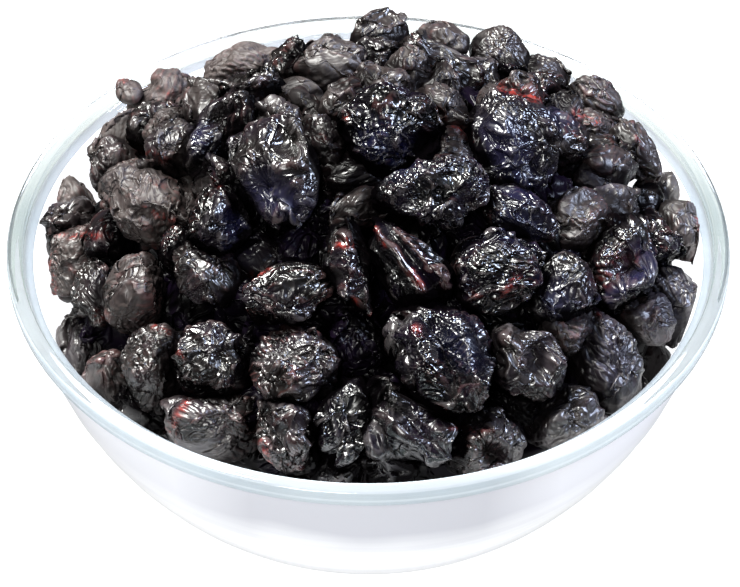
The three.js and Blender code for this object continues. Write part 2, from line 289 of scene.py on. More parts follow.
# What is drawn for a cherry that doesn't show: its length in millimetres, its width beside its length, and
# how far its thin way strays
LENGTHS, WIDTHS, STRAY = (12, 15.5), (0.78, 0.95), 0.6

# What is drawn for every cherry: its thickness beside its width, and how deep and wide its hollow and its
# folds are beside its radius
THICKNESSES = (0.72, 0.92)
HOLLOW_DEPTHS, HOLLOW_WIDTHS = (0.15, 0.38), (0.3, 0.55)
FOLDS, FOLD_DEPTHS, FOLD_WIDTHS = 3, (0.1, 0.3), (0.1, 0.22)


def draw_form(draws):
    """The drawn hollow at the stem, and three sunken folds of a cherry."""
    hollow = (draws.direction(), draws.between(*HOLLOW_DEPTHS), draws.between(*HOLLOW_WIDTHS))
    folds = []
    for _ in range(FOLDS):
        across, side = draws.direction(), draws.direction()
        folds.append((across, side, draws.between(*FOLD_DEPTHS), draws.between(*FOLD_WIDTHS)))
    return hollow, folds


def sunken(directions, form):
    """One, less a round hollow, and less a bell-shaped band across each fold, on the fold's own side."""
    (at, depth, width), folds = form
    share = 1 - depth * np.exp((directions @ at - 1) / width ** 2)
    for across, side, depth, width in folds:
        share -= depth * bell(directions @ across / width) * np.maximum(0, directions @ side)
    return share


def axes_from(long, thin):
    """Three axes at right angles: the third along thin, and the first as near to long as that leaves."""
    third = unit(thin)
    first = unit(long - third * (long @ third))
    return np.array([first, np.cross(third, first), third])


class Cherry:
    """A cherry's middle, axes, half-sizes and form, how far it stands out of the dome, and its row in SEEN.

    Its thickness and its form are drawn, in that order.
    """

    def __init__(self, draws, middle, long, thin, length, width, lift=0.0, row=None):
        self.middle = middle
        self.axes = axes_from(long, thin)
        self.half = np.array([length, width, width * draws.between(*THICKNESSES)]) / 2
        self.form = draw_form(draws)
        self.lift = lift
        self.row = row
        self.radius = (self.half[0] + self.half[1]) / 2

    def flesh(self, directions, creases):
        """The middle, plus each direction times the half-sizes and the form's share, turned onto the axes."""
        share = np.maximum(sunken(directions, self.form) - creases, LEAST_FLESH)
        return self.middle + FLESH * (directions * share[:, None] * self.half) @ self.axes

    def reach(self, direction):
        """How far the ellipsoid reaches along a direction: the length of its half-axes' parts along it."""
        return float(np.linalg.norm(self.half * (self.axes @ direction)))


def on_sight_line(x, y, lift, width, rim):
    """Where the line from the eye through a pixel meets the dome of middles, or passes nearest over it."""
    aside = (x - FRAME_WIDTH / 2) / FOCAL_PIXELS * PICTURE_RIGHT
    upwards = (FRAME_HEIGHT / 2 - y) / FOCAL_PIXELS * PICTURE_UP
    points = EYE + SIGHT_DISTANCES[:, None] * unit(aside + upwards - TO_EYE)
    above = points[:, 2] - (dome_height(points[:, 0], points[:, 1], rim) - SINK + lift)
    under = np.flatnonzero(above <= 0)
    middle = points[under[0] if len(under) else np.argmin(above)]
    middle[:2] *= min(1, (OUTERMOST - width / 2) / math.hypot(middle[0], middle[1]))
    return middle


def seen_cherries(draws, rim):
    made = []
    for row, (x, y, length, width, turn, lift) in enumerate(SEEN):
        middle = on_sight_line(x, y, lift, width, rim)
        angle = math.radians(turn)
        long = math.cos(angle) * PICTURE_RIGHT + math.sin(angle) * PICTURE_UP
        thin = TO_EYE + dome_normal(middle[0], middle[1])
        made.append(Cherry(draws, middle, long, thin, length, width, lift, row))
    return made


def drawn_cherry(draws, middle, out):
    """A cherry of a drawn size, lying with its thin way roughly along out."""
    thin = out + STRAY * draws.direction()
    long = draws.direction()
    length = draws.between(*LENGTHS)
    width = length * draws.between(*WIDTHS)
    return Cherry(draws, middle, long, thin, length, width)


def dome_cherries(draws, seen, rim):
    """The rest of the dome: the places on a close spiral that no cherry takes yet."""
    placed = list(seen)
    for share, angle in spiral(DOME_PLACES):
        x, y = REACH * share * math.cos(angle), REACH * share * math.sin(angle)
        middle = np.array([x, y, dome_height(x, y, rim) - SINK - lean(x, y) + draws.between(-1, 1)])
        cherry = drawn_cherry(draws, middle, dome_normal(x, y))
        away = [math.dist(other.middle, middle) / (other.radius + cherry.radius) for other in placed]
        if min(away) >= CROWDED:
            placed.append(cherry)
    return placed[len(seen):]


def wall_cherries(draws, glass):
    """The cherries that lie against the glass, from the floor up to just under the heap, evenly by height."""
    made = []
    for share, angle in spiral(WALL_COUNT):
        z = glass.floor + WALL_FOOT + (WALL_TOP - glass.floor - WALL_FOOT) * share
        radius = float(glass.radius(z, glass.wall)) - CLEAR - WALL_INSET
        middle = np.array([radius * math.cos(angle), radius * math.sin(angle), z + draws.between(-1, 1)])
        out = unit(np.array([math.cos(angle), math.sin(angle), WALL_LEAN]))
        made.append(drawn_cherry(draws, middle, out))
    return made


def under_cherries(draws, rim):
    """A second layer on a spiral, a cherry's thickness under the first."""
    made = []
    for share, angle in spiral(UNDER_COUNT):
        x, y = UNDER_REACH * share * math.cos(angle), UNDER_REACH * share * math.sin(angle)
        middle = np.array([x, y, dome_height(x, y, rim) - UNDER_SINK - lean(x, y)])
        made.append(drawn_cherry(draws, middle, dome_normal(x, y)))
    return made


# The skins

FLESH = 0.93  # the flesh's size beside the whole cherry's, which leaves room for the skin's folds
LEAST_FLESH = 0.3  # the least share of its half-sizes that the flesh keeps
GATHERED = 0.45  # how strongly a skin's points gather on its outer side, which is along its thin axis
# Creases in the flesh: how many a cherry has, from the first number to one less than the second, the shares
# of its radius between which their widths and depths are drawn, and how far they waver
CREASES, CREASE_WIDTHS, CREASE_DEPTHS, CREASE_SWAY = (4, 8), (0.13, 0.26), (0.06, 0.2), 0.16


def gathered(sphere):
    """The sphere's points, each moved along the third axis and brought back to radius one."""
    return unit(sphere + np.array([0, 0, GATHERED]))


def drawn_creases(directions, random):
    """Narrow folds in the flesh: bands across wavering great circles, each strongest on one side."""
    total = np.zeros(len(directions))
    for _ in range(random.integers(*CREASES)):
        across, side = unit(random.standard_normal((2, 3)))
        off = directions @ across + CREASE_SWAY * waves(directions, random, 8, 2.2)
        off = off / random.uniform(*CREASE_WIDTHS)
        total += random.uniform(*CREASE_DEPTHS) * bell(off) * np.clip(directions @ side + 0.3, 0, 1)
    return total


def geodesic(cuts):
    """A unit sphere: the faces of an icosahedron cut in cuts by cuts triangles and pushed out to radius one.

    Gives its points and faces. Points that two faces share are made one.
    """
    golden = (1 + 5 ** 0.5) / 2
    corners = np.array([
        (-1, golden, 0), (1, golden, 0), (-1, -golden, 0), (1, -golden, 0), (0, -1, golden), (0, 1, golden),
        (0, -1, -golden), (0, 1, -golden), (golden, 0, -1), (golden, 0, 1), (-golden, 0, -1), (-golden, 0, 1),
    ])
    sides = np.array([
        (0, 11, 5), (0, 5, 1), (0, 1, 7), (0, 7, 10), (0, 10, 11), (1, 5, 9), (5, 11, 4), (11, 10, 2),
        (10, 7, 6), (7, 1, 8), (3, 9, 4), (3, 4, 2), (3, 2, 6), (3, 6, 8), (3, 8, 9), (4, 9, 5), (2, 4, 11),
        (6, 2, 10), (8, 6, 7), (9, 8, 1),
    ])
    i, j = np.meshgrid(np.arange(cuts + 1), np.arange(cuts + 1), indexing="ij")
    inside = i + j <= cuts
    number = np.zeros(i.shape, int)
    number[inside] = np.arange(inside.sum())
    i, j = i[inside], j[inside]
    a, b, c = (corners[sides[:, k]][:, None] for k in range(3))
    u, v = (i / cuts)[None, :, None], (j / cuts)[None, :, None]
    points = unit(a * (1 - u - v) + b * u + c * v).reshape(-1, 3)
    left = i + j < cuts
    s, t = i[left], j[left]
    upright = np.stack([number[s, t], number[s + 1, t], number[s, t + 1]], 1)
    inner = s + t < cuts - 1
    s, t = s[inner], t[inner]
    hanging = np.stack([number[s + 1, t], number[s + 1, t + 1], number[s, t + 1]], 1)
    faces = np.concatenate([upright, hanging])[None] + (np.arange(len(sides)) * len(i))[:, None, None]
    rounded_off = np.round(points * 1e5).astype(np.int64)
    _, kept, merged = np.unique(rounded_off, axis=0, return_index=True, return_inverse=True)
    return points[kept], merged.reshape(-1)[faces.reshape(-1, 3)]


class Shell:
    """A sphere's points, faces and neighbour tables, with the same after each face is cut in four."""

    def __init__(self, points, faces):
        self.points = points
        self.faces = faces
        count = len(points)
        ends = np.concatenate([faces[:, [0, 1]], faces[:, [1, 2]], faces[:, [2, 0]]])
        both = np.unique(np.concatenate([ends, ends[:, ::-1]]), axis=0)
        first = np.searchsorted(both[:, 0], np.arange(count))
        self.near = np.tile(np.arange(count)[:, None], (1, 6))
        self.near[both[:, 0], np.arange(len(both)) - first[both[:, 0]]] = both[:, 1]
        corner = faces.ravel()
        order = np.argsort(corner, kind="stable")
        first = np.searchsorted(corner[order], np.arange(count))
        self.around = np.full((count, 6), len(faces))
        self.around[corner[order], np.arange(len(order)) - first[corner[order]]] = order // 3
        self.pairs, middles = np.unique(np.sort(ends, 1), axis=0, return_inverse=True)
        self.middles = middles.reshape(3, -1) + count

    def finer(self):
        a, b, c = self.faces.T
        ab, bc, ca = self.middles
        quarters = ((a, ab, ca), (ab, b, bc), (ca, bc, c), (ab, bc, ca))
        return Shell(unit(self.on_finer(self.points)), np.concatenate([np.stack(q, 1) for q in quarters]))

    def on_finer(self, values):
        """Values at the points, and the mean of both ends at the middle of each edge."""
        return np.concatenate([values, values[self.pairs].mean(1)])

    def mean_of_near(self, values):
        return sum(values[self.near[:, k]] for k in range(6)) / 6

    def normals(self, skins):
        """The sum of the cross products of the faces round each point, over its length."""
        a, b, c = (skins[self.faces[:, k]] for k in range(3))
        each = np.cross(b - a, c - a)
        each = np.concatenate([each, np.zeros_like(each[:1])])
        return unit(sum(each[self.around[:, k]] for k in range(6)))


def waves(points, random, count, pitch):
    """Smooth hills: the sum of plane waves in random directions, with about pitch radians to the unit."""
    turns = unit(random.standard_normal((count, 3))) * pitch * random.uniform(0.6, 1.4, (count, 1))
    return np.cos(points @ turns.T + random.uniform(0, 2 * math.pi, count)).sum(-1) / math.sqrt(count / 2)


Stage = namedtuple("Stage", "wave growth hold_out hold_side steps patchy start")

# The two stages of drying. Each skin's wave length, in millimetres, and its growth are drawn between two
# values. The flesh holds it by hold_out along its normal and hold_side sideways, its growth varies by
# patchy, and at the start it is uneven by so many of its edges.
COARSE = Stage((3.4, 5.6), (0.3, 0.6), hold_out=0.01, hold_side=0.004, steps=300, patchy=0.5, start=0.1)
FINE = Stage((1.3, 2.0), (0.22, 0.4), hold_out=0.03, hold_side=0.05, steps=150, patchy=0.6, start=0.15)

PUSH_OUT = 0.5  # how strongly the flesh pushes out a point that lies under it
STRETCH = 0.3  # how strongly an edge pulls
DAMPING = 0.85  # the share of its speed that a point keeps from one step to the next
STEP = 0.35
ALONG_GRAIN = 0.85  # the share of the growth that is missing along the grain
GRAIN_SWAY = 0.8


def relax(shell, flesh, axes, sizes, stage, random):
    """Wrinkles: skins that have grown too large for the flesh under them find their resting shape.

    flesh is (points, skins, 3). Each edge is a spring whose rest length is its length on the flesh times
    one plus the growth, which is least along the grain. The mean of the neighbours less the point, taken
    twice, resists bending. A point under the flesh is pushed out strongly, and one over it is drawn back
    weakly along the normal and sideways. The bending strength is the one at which a flat sheet would buckle
    in waves of the drawn length times the skin's size. Every step adds the forces to the speeds, damps
    these, and moves the points.
    """
    kind = np.float32
    count, skins = flesh.shape[:2]
    wave = sizes * random.uniform(*stage.wave, skins)
    most = random.uniform(*stage.growth, skins)
    out = shell.normals(flesh).astype(kind)
    flesh = flesh.astype(kind)
    near = [np.ascontiguousarray(shell.near[:, k]) for k in range(6)]
    edge = np.linalg.norm(flesh[near[0]] - flesh, axis=2).mean(0)
    bend = (16 * stage.hold_out * (wave / (2 * math.pi * edge)) ** 4).astype(kind)[None, :, None]
    grain, growth, start = [], [], []
    for skin in range(skins):
        sway = [GRAIN_SWAY * waves(shell.points, random, 12, 1.6) for _ in range(2)]
        grain.append(unit(np.stack([np.ones(count), *sway], 1)) @ axes[skin])
        patches = 1 + stage.patchy * waves(shell.points, random, 12, 2.6)
        growth.append(most[skin] * np.clip(patches, 0.1, 2))
        start.append(random.standard_normal(count) * edge[skin])
    grain = np.stack(grain, 1).astype(kind)
    growth = np.stack(growth, 1)[..., None].astype(kind)
    skin = flesh + out * (np.stack(start, 1)[..., None] * stage.start).astype(kind)
    rest = []
    for k in near:
        side = flesh[k] - flesh
        length = np.linalg.norm(side, axis=2, keepdims=True)
        along = (side * grain).sum(2, keepdims=True) / np.maximum(length, 1e-9)
        rest.append(length * (1 + growth * (1 - ALONG_GRAIN * along ** 2)))
    speed = np.zeros_like(skin)
    hold_out, hold_side = kind(stage.hold_out), kind(stage.hold_side)
    for _ in range(stage.steps):
        force = np.zeros_like(skin)
        bulge = np.zeros_like(skin)
        for k, length in zip(near, rest):
            side = skin[k] - skin
            bulge += side
            now = np.sqrt(np.einsum("psc,psc->ps", side, side))[..., None] + kind(1e-9)
            side *= (1 - length / now) * kind(STRETCH)
            force += side
        bulge /= 6
        force -= bend * (sum(bulge[k] for k in near) / 6 - bulge)
        off = skin - flesh
        over = np.einsum("psc,psc->ps", off, out)[..., None]
        force -= (np.where(over < 0, kind(PUSH_OUT), hold_out) - hold_side) * over * out
        force -= hold_side * off
        speed = kind(DAMPING) * speed + force
        skin = skin + kind(STEP) * speed
    return skin


def ridges(shell, skins):
    """How far each point stands out of its neighbours' mean, in tenths of an edge, between 0 and 1."""
    stands = -((shell.mean_of_near(skins) - skins) * shell.normals(skins)).sum(2)
    edge = np.linalg.norm(skins[shell.near[:, 0]] - skins, axis=2).mean(0)
    return np.clip(shell.mean_of_near(stands / edge) * 10, 0, 1)


NEIGHBOURS = 20.0  # no cherry touches another whose middle lies farther away than this

# A cherry gives way by half of an overlap, and by up to MOST_SHARE more or less where the two stand out of
# the dome by different heights
EVEN_SHARE, MOST_SHARE, LIFT_TELLS = 0.5, 0.44, 1.2
LEAST_LEFT = 0.45  # the least share of its reach that a cherry keeps
KNEE = 0.65  # the share of its limit at which its flesh starts to bend over


def make_room(points, cherry, others):
    """Draws in a cherry's flesh where a neighbour lies against it.

    Where the two ellipsoids overlap along the line between their middles, the overlap is shared out, and
    the one that stands out more gives way less. Past a knee, the distance along the line bends over by a
    hyperbolic tangent towards that limit.
    """
    for other in others:
        between = other.middle - cherry.middle
        distance = float(np.linalg.norm(between))
        if other is cherry or distance > NEIGHBOURS:
            continue
        between = between / distance
        mine = cherry.reach(between)
        overlap = mine + other.reach(between) - distance
        if overlap <= 0:
            continue
        share = EVEN_SHARE - MOST_SHARE * math.tanh((cherry.lift - other.lift) / LIFT_TELLS)
        limit = max(mine - overlap * share, LEAST_LEFT * mine)
        knee = KNEE * limit
        along = (points - cherry.middle) @ between
        bent = knee + (limit - knee) * np.tanh((along - knee) / (limit - knee))
        points += np.where(along > knee, bent - along, 0)[:, None] * between
    return points


def sight_distance(points, start, end):
    """Each point's distance in millimetres from the sheet of sight lines through a stroke in the picture."""
    ahead = EYE - points
    depth = ahead @ TO_EYE
    x = FRAME_WIDTH / 2 - FOCAL_PIXELS * (ahead @ PICTURE_RIGHT) / depth
    y = FRAME_HEIGHT / 2 + FOCAL_PIXELS * (ahead @ PICTURE_UP) / depth
    stroke = np.array(end, float) - start
    place = np.stack([x, y], -1) - start
    share = np.clip(place @ stroke / max(float(stroke @ stroke), 1e-9), 0, 1)
    return np.linalg.norm(place - share[..., None] * stroke, axis=-1) * depth / FOCAL_PIXELS


# Folds and hollows of single cherries that the picture shows: the cherry's row in SEEN, a stroke's two ends
# in pixels, its half-width in millimetres, and how far it stands up towards the eye, or lies in where that
# is negative.
STROKES = (
    (5, 222, 120, 229, 160, 2.3, -4.5), (5, 192, 130, 200, 172, 0.9, 1.2), (5, 203, 106, 236, 100, 0.9, 1.2),
    (6, 277, 131, 287, 143, 1.2, -4.0), (6, 243, 168, 292, 158, 1.0, 1.6),
    (6, 276, 186, 297, 208, 0.9, -2.4), (6, 240, 150, 262, 140, 0.9, 1.2), (6, 305, 150, 312, 190, 1.0, 1.2),
    (7, 236, 214, 241, 232, 1.9, -3.2), (7, 214, 212, 210, 232, 0.8, 1.0),
    (12, 145, 287, 147, 288, 1.6, 1.8), (12, 132, 300, 160, 302, 0.9, -1.6),
    (15, 345, 243, 350, 292, 0.9, 1.6), (15, 350, 292, 372, 312, 0.9, 1.4),
    (18, 424, 138, 450, 120, 0.9, -2.0), (18, 424, 138, 430, 110, 0.8, -1.8),
    (18, 398, 152, 424, 138, 1.2, -2.6), (18, 350, 118, 420, 103, 0.9, 1.2),
    (18, 372, 150, 402, 132, 0.9, 1.2), (26, 500, 125, 512, 175, 0.9, 1.2),
    (26, 530, 120, 536, 175, 0.9, -1.8), (26, 486, 130, 492, 165, 0.9, -1.6),
    (36, 600, 304, 656, 262, 1.0, 2.2), (36, 600, 290, 642, 252, 1.8, -3.2),
    (37, 385, 192, 440, 166, 0.9, 1.2), (37, 458, 200, 462, 202, 1.1, -2.6),
    (37, 398, 215, 470, 208, 0.8, 1.2), (37, 395, 203, 450, 186, 0.9, -1.6),
    (41, 372, 222, 428, 292, 0.8, 1.8), (41, 384, 216, 440, 280, 0.8, 1.6),
    (41, 378, 219, 434, 286, 0.8, -1.8), (47, 184, 410, 244, 402, 0.8, 1.0),
    (47, 195, 445, 235, 442, 1.8, -1.0), (48, 278, 408, 310, 455, 0.8, 1.4),
    (48, 268, 415, 300, 462, 0.8, -1.6), (53, 455, 310, 480, 395, 1.4, 2.4),
    (53, 480, 395, 495, 388, 0.9, 1.6), (53, 446, 350, 466, 388, 1.5, -3.0),
    (53, 420, 330, 432, 372, 0.9, 1.2), (54, 538, 352, 541, 364, 1.6, -4.0),
    (54, 522, 345, 508, 338, 0.7, 1.0), (54, 520, 366, 500, 370, 0.7, 1.0),
    (56, 378, 400, 430, 452, 0.7, 1.3), (56, 392, 394, 444, 446, 0.7, 1.3),
    (56, 385, 397, 437, 449, 0.7, -1.5), (57, 470, 448, 490, 430, 0.8, 2.0),
    (57, 490, 430, 515, 448, 0.8, 2.0), (57, 488, 450, 494, 456, 1.4, -3.0),
)

# Where a skin shows red: a stroke's two ends in pixels, its half-width in millimetres, and its strength.
BLUSHES = (
    (340, 243, 352, 244, 0.59, 1.0), (354, 299, 357, 303, 0.39, 0.8), (364, 315, 369, 316, 0.35, 0.8),
    (372, 222, 384, 246, 0.35, 0.5), (412, 272, 432, 296, 0.45, 0.9), (470, 293, 482, 294, 0.45, 0.9),
    (518, 276, 503, 295, 0.45, 0.8), (249, 276, 268, 270, 0.52, 0.8), (237, 309, 240, 313, 0.52, 0.6),
    (345, 115, 346, 118, 0.35, 0.9), (441, 109, 445, 118, 0.45, 1.0), (503, 86, 538, 97, 0.72, 1.0),
    (455, 126, 476, 141, 0.52, 0.9), (215, 180, 218, 186, 0.39, 0.6), (320, 136, 324, 140, 0.45, 0.6),
    (414, 328, 422, 332, 0.52, 0.6), (577, 113, 596, 122, 0.78, 0.9), (636, 138, 643, 148, 0.45, 0.8),
    (699, 216, 700, 228, 0.52, 0.7), (663, 245, 668, 249, 0.39, 0.5), (598, 314, 601, 318, 0.39, 0.6),
    (602, 279, 630, 254, 1.43, 0.3), (121, 77, 126, 81, 0.59, 0.7), (140, 152, 165, 160, 0.59, 0.7),
    (147, 180, 167, 187, 0.45, 0.8), (104, 222, 110, 238, 0.45, 0.8), (146, 210, 173, 219, 0.59, 0.9),
    (149, 235, 155, 247, 0.39, 0.8), (61, 236, 102, 235, 0.52, 0.8), (68, 266, 72, 271, 0.52, 1.0),
    (48, 262, 60, 310, 0.45, 0.7), (98, 312, 104, 322, 0.65, 0.4), (155, 327, 168, 332, 0.45, 0.8),
    (178, 352, 182, 357, 0.39, 0.6), (168, 432, 190, 396, 0.52, 0.8), (262, 440, 271, 470, 0.52, 0.8),
    (437, 408, 443, 412, 0.45, 0.7), (452, 427, 492, 432, 0.35, 0.5), (160, 92, 175, 96, 0.52, 0.6),
)

# Where a blue sheen, a painted reflection, lies on a skin, in the same way
PAINTED_SHEENS = (
    (262, 190, 292, 206, 3.0, 1.0), (238, 222, 246, 236, 2.2, 1.0), (236, 252, 246, 256, 2.0, 0.8),
    (196, 130, 200, 150, 1.4, 0.8), (500, 140, 522, 182, 4.0, 0.8), (560, 112, 566, 116, 2.5, 0.8),
    (668, 280, 676, 330, 4.5, 0.6), (600, 304, 656, 264, 1.3, 1.0), (600, 340, 612, 370, 4.0, 0.6),
    (512, 222, 530, 232, 2.5, 0.6), (552, 290, 564, 312, 2.5, 0.7), (378, 140, 400, 160, 3.0, 0.6),
    (590, 176, 606, 184, 2.5, 0.8), (640, 250, 655, 262, 1.5, 0.7), (455, 340, 466, 360, 2.5, 0.5),
)


def shape_strokes(points, row, middle):
    """Moves points on the eye's side of a cherry towards the eye, by a bell curve across each stroke."""
    for number, x0, y0, x1, y1, width, height in STROKES:
        if number == row:
            away = sight_distance(points, (x0, y0), (x1, y1)) / width
            facing = np.clip((points - middle) @ TO_EYE / 2, 0, 1)
            points += (height * facing * bell(away))[:, None] * TO_EYE
    return points


def marked(points, strokes):
    """The strongest of the bell curves across some strokes, at each point."""
    strength = np.zeros(len(points))
    for x0, y0, x1, y1, width, most in strokes:
        away = sight_distance(points, (x0, y0), (x1, y1)) / width
        strength = np.maximum(strength, most * bell(away))
    return strength


SHADE_FROM, SHADE_TO = 2.0, 6.5  # the depths under the dome at which places start and end to grow darker, a painted shade
CLEAR_OF = 2.2  # a point this far from another cherry's plain form gets no painted shade from it
FOLDS_REACH = 2.0  # a skin's folds lie about this far out of its cherry's plain form at the most


def shade(points, rim):
    """How far a place lies down among the cherries: a smooth step of its depth under the dome, used as painted
    shade.
    """
    x, y, z = points.T
    return smooth_step(dome_height(x, y, rim) - lean(x, y) - z, SHADE_FROM, SHADE_TO)


def nearness(points, cherry, others):
    """How near each of a cherry's points is to another's plain form: 1 on it, and 0 from CLEAR_OF away."""
    nearest = np.full(len(points), CLEAR_OF)
    reach = cherry.half.max() + CLEAR_OF + FOLDS_REACH
    for other in others:
        if other is not cherry and math.dist(cherry.middle, other.middle) < reach + other.half.max():
            away = np.linalg.norm((points - other.middle) @ other.axes.T / other.half, axis=1) - 1
            nearest = np.minimum(nearest, away * other.half.mean())
    return 1 - np.clip(nearest / CLEAR_OF, 0, 1)


class Skin:
    """A dried cherry's surface: its points in millimetres, its faces, and values and a place at its points.

    The place follows the skin: it is the point's own place round its cherry's middle, along the cherry's
    axes, pressed together along its length, so that a pattern on it is drawn out that way.
    """

    def __init__(self, points, faces, place, ridge, painted_shade, looks):
        self.points = points
        self.faces = faces
        self.place = place
        self.values = {
            "ridge": ridge,
            "shade": painted_shade,
            "blush": marked(points, BLUSHES),
            "sheen": marked(points, PAINTED_SHEENS),
        }
        for name, value in zip(("wrinkled", "bloom", "warmth"), looks):
            self.values[name] = np.full(len(points), value)


# How wrinkled, dull and brown-ridged some of the cherries are, each from 0 to 1, by row in SEEN
LOOKS = {
    0: (0.5, 1.0, 0.9), 1: (0.12, 1.0, 0.3), 2: (0.5, 0.8, 0.4), 3: (0.4, 1.0, 0.8), 4: (0.6, 0.6, 0.5),
    5: (0.8, 0.1, 0.3), 8: (0.1, 0.9, 0.6), 9: (0.6, 0.8, 0.6), 10: (0.7, 0.8, 1.0), 11: (0.6, 0.7, 1.0),
    12: (0.6, 0.6, 0.8), 13: (0.8, 0.2, 0.5), 14: (1.0, 0.05, 0.5), 17: (0.6, 0.5, 0.9), 18: (1.0, 0.0, 0.3),
    19: (0.5, 0.4, 0.3), 20: (0.7, 0.5, 0.8), 21: (0.4, 0.6, 0.8), 22: (0.5, 0.4, 0.3), 23: (0.4, 0.4, 0.3),
    24: (0.5, 0.3, 0.2), 25: (0.4, 0.4, 0.1), 27: (0.25, 0.5, 0.1), 28: (0.4, 0.6, 0.6), 29: (0.4, 0.5, 0.5),
    30: (0.4, 0.5, 0.7), 31: (0.6, 0.4, 0.6), 32: (0.4, 0.5, 0.3), 33: (0.4, 0.5, 0.5), 34: (0.5, 0.4, 0.1),
    35: (0.25, 0.5, 0.8), 36: (0.6, 0.1, 0.5), 37: (1.0, 0.0, 0.2), 39: (1.0, 0.0, 0.3), 41: (0.7, 0.0, 0.5),
    42: (0.7, 0.3, 0.2), 43: (0.6, 0.5, 1.0), 44: (0.6, 0.3, 0.3), 47: (0.6, 0.35, 0.6), 49: (0.9, 0.2, 1.0),
    54: (0.7, 0.2, 0.3), 55: (0.45, 0.35, 0.1), 57: (0.7, 0.2, 0.4), 58: (0.7, 0.3, 0.0),
    74: (0.3, 1.0, 1.0), 75: (0.5, 0.7, 0.4), 76: (0.5, 0.5, 0.6),
}

# Between which values the same three are drawn, for the other cherries that show and for those that don't
SEEN_LOOKS = ((0.7, 1.0), (0, 0.15), (0, 0.5))
UNSEEN_LOOKS = ((0.4, 1.0), (0, 0.6), (0, 1))


def cherry_looks(cherry, random):
    """How wrinkled, dull and brown-ridged a cherry is: from LOOKS, or else drawn."""
    drawn = [random.uniform(*ends) for ends in SEEN_LOOKS]
    if cherry.row is None:
        drawn = [random.uniform(*ends) for ends in UNSEEN_LOOKS]
    return LOOKS.get(cherry.row, drawn)


SWAY = 0.3  # how far the pattern of the small hollows sways, in pitches
SMOOTHINGS = 10  # how many times a skin is smoothed to tell its swellings from its form
TURNED = 1.8  # 1 flattens the swellings, and 2 turns them into hollows as deep as they were high
SMALL_WRINKLES = ((3.2, 1.6), (1.6, 0.75))  # the small hollows' width and depth in millimetres
USUAL_BOWL = 0.4  # the level of the small hollows that stays where it is
SMOOTHEST = 0.45  # the small hollows' depth on the least wrinkled cherry, beside the most wrinkled one's
PATCHES, PATCH_WAVES, LEAST_PATCH = 0.75, 0.6, 0.4  # their depth by patches: its mean, its change, its least


def bowls(places, half, random, pitch):
    """Small hollows that meet in sharp ridges: the distance to the nearest of some points drawn on an
    ellipsoid, in pitches, to the power of 1.5. Before that, the places sway by waves twice the pitch long.
    """
    count = int(4 * math.pi * float(np.prod(half)) ** (2 / 3) / pitch ** 2)
    sway = np.stack([SWAY * pitch * waves(places, random, 10, math.pi / pitch) for _ in range(3)], 1)
    swayed = places + sway
    nearest = np.full(len(places), np.inf)
    for centre in unit(random.standard_normal((count, 3))) * half:
        nearest = np.minimum(nearest, ((swayed - centre) ** 2).sum(1))
    return np.minimum(1, (nearest / pitch ** 2) ** 0.75)


def crumple(shell, skin, place, half, random, depth):
    """Turns a skin's round swellings into hollows and its creases into sharp ridges, by moving it along its
    normals past its smoothed form, and raises sharp small wrinkles on it, less in some patches.
    """
    smooth = skin
    for _ in range(SMOOTHINGS):
        smooth = shell.mean_of_near(smooth)
    normals = shell.normals(smooth[:, None])[:, 0]
    raised = -TURNED * ((skin - smooth) * normals).sum(1)
    patches = np.clip(PATCHES + PATCH_WAVES * waves(place, random, 12, 0.6), LEAST_PATCH, 1)
    for pitch, height in SMALL_WRINKLES:
        raised = raised + depth * height * patches * (bowls(place, half, random, pitch) - USUAL_BOWL)
    return skin + raised[:, None] * normals


BATCH = 12  # cherries that dry at the same time
USUAL_RADIUS = 6.5  # the mean half-width of a cherry whose coarse folds are as long as drawn
EASED = 0.4  # how far the coarse skin's points go to their neighbours' mean before it dries again
DRAWN_OUT = (0.45, 1.0)  # how far a cherry's small wrinkles are pressed together along its length
SCATTER = 500.0  # how far apart the patterns of two cherries may lie


def dry(cherries, crowd, glass, cuts, fine, seed, highest):
    """The skins of some cherries: coarse folds over the flesh and, where asked, fine wrinkles over those."""
    random = np.random.default_rng(seed)
    coarse = Shell(*geodesic(cuts))
    last = coarse.finer() if fine else coarse
    made = []
    for first in range(0, len(cherries), BATCH):
        batch = cherries[first:first + BATCH]
        flesh = []
        directions = gathered(coarse.points)
        for cherry in batch:
            creases = drawn_creases(directions, random)
            points = make_room(cherry.flesh(directions, creases), cherry, crowd)
            points = shape_strokes(points, cherry.row, cherry.middle)
            glass.keep_inside(points)
            flesh.append(points)
        axes = [cherry.axes for cherry in batch]
        sizes = np.array([cherry.radius for cherry in batch]) / USUAL_RADIUS
        skins = relax(coarse, np.stack(flesh, 1), axes, sizes, COARSE, random)
        if fine:
            skins = coarse.on_finer(skins)
            skins = skins + EASED * (last.mean_of_near(skins) - skins)
            skins = relax(last, skins, axes, 1.0, FINE, random)
        for k, cherry in enumerate(batch):
            points = skins[:, k].astype(float)
            half = cherry.half * (random.uniform(*DRAWN_OUT), 1, 1)
            place = gathered(last.points) * half
            looks = cherry_looks(cherry, random)
            if fine:
                depth = SMOOTHEST + (1 - SMOOTHEST) * looks[0]
                points = crumple(last, points, place, half, random, depth)
            glass.keep_inside(points)
            points[:, 2] -= max(0.0, points[:, 2].max() - highest)
            ridge = ridges(last, points[:, None])[:, 0]
            place = (place + random.uniform(-SCATTER, SCATTER, 3)) * MM
            # Painted shade: darker where the skin lies deep under the dome or against another cherry
            painted_shade = np.maximum(shade(points, glass.height), nearness(points, cherry, crowd))
            made.append(Skin(points, last.faces, place, ridge, painted_shade, looks))
    return made


# Meshes

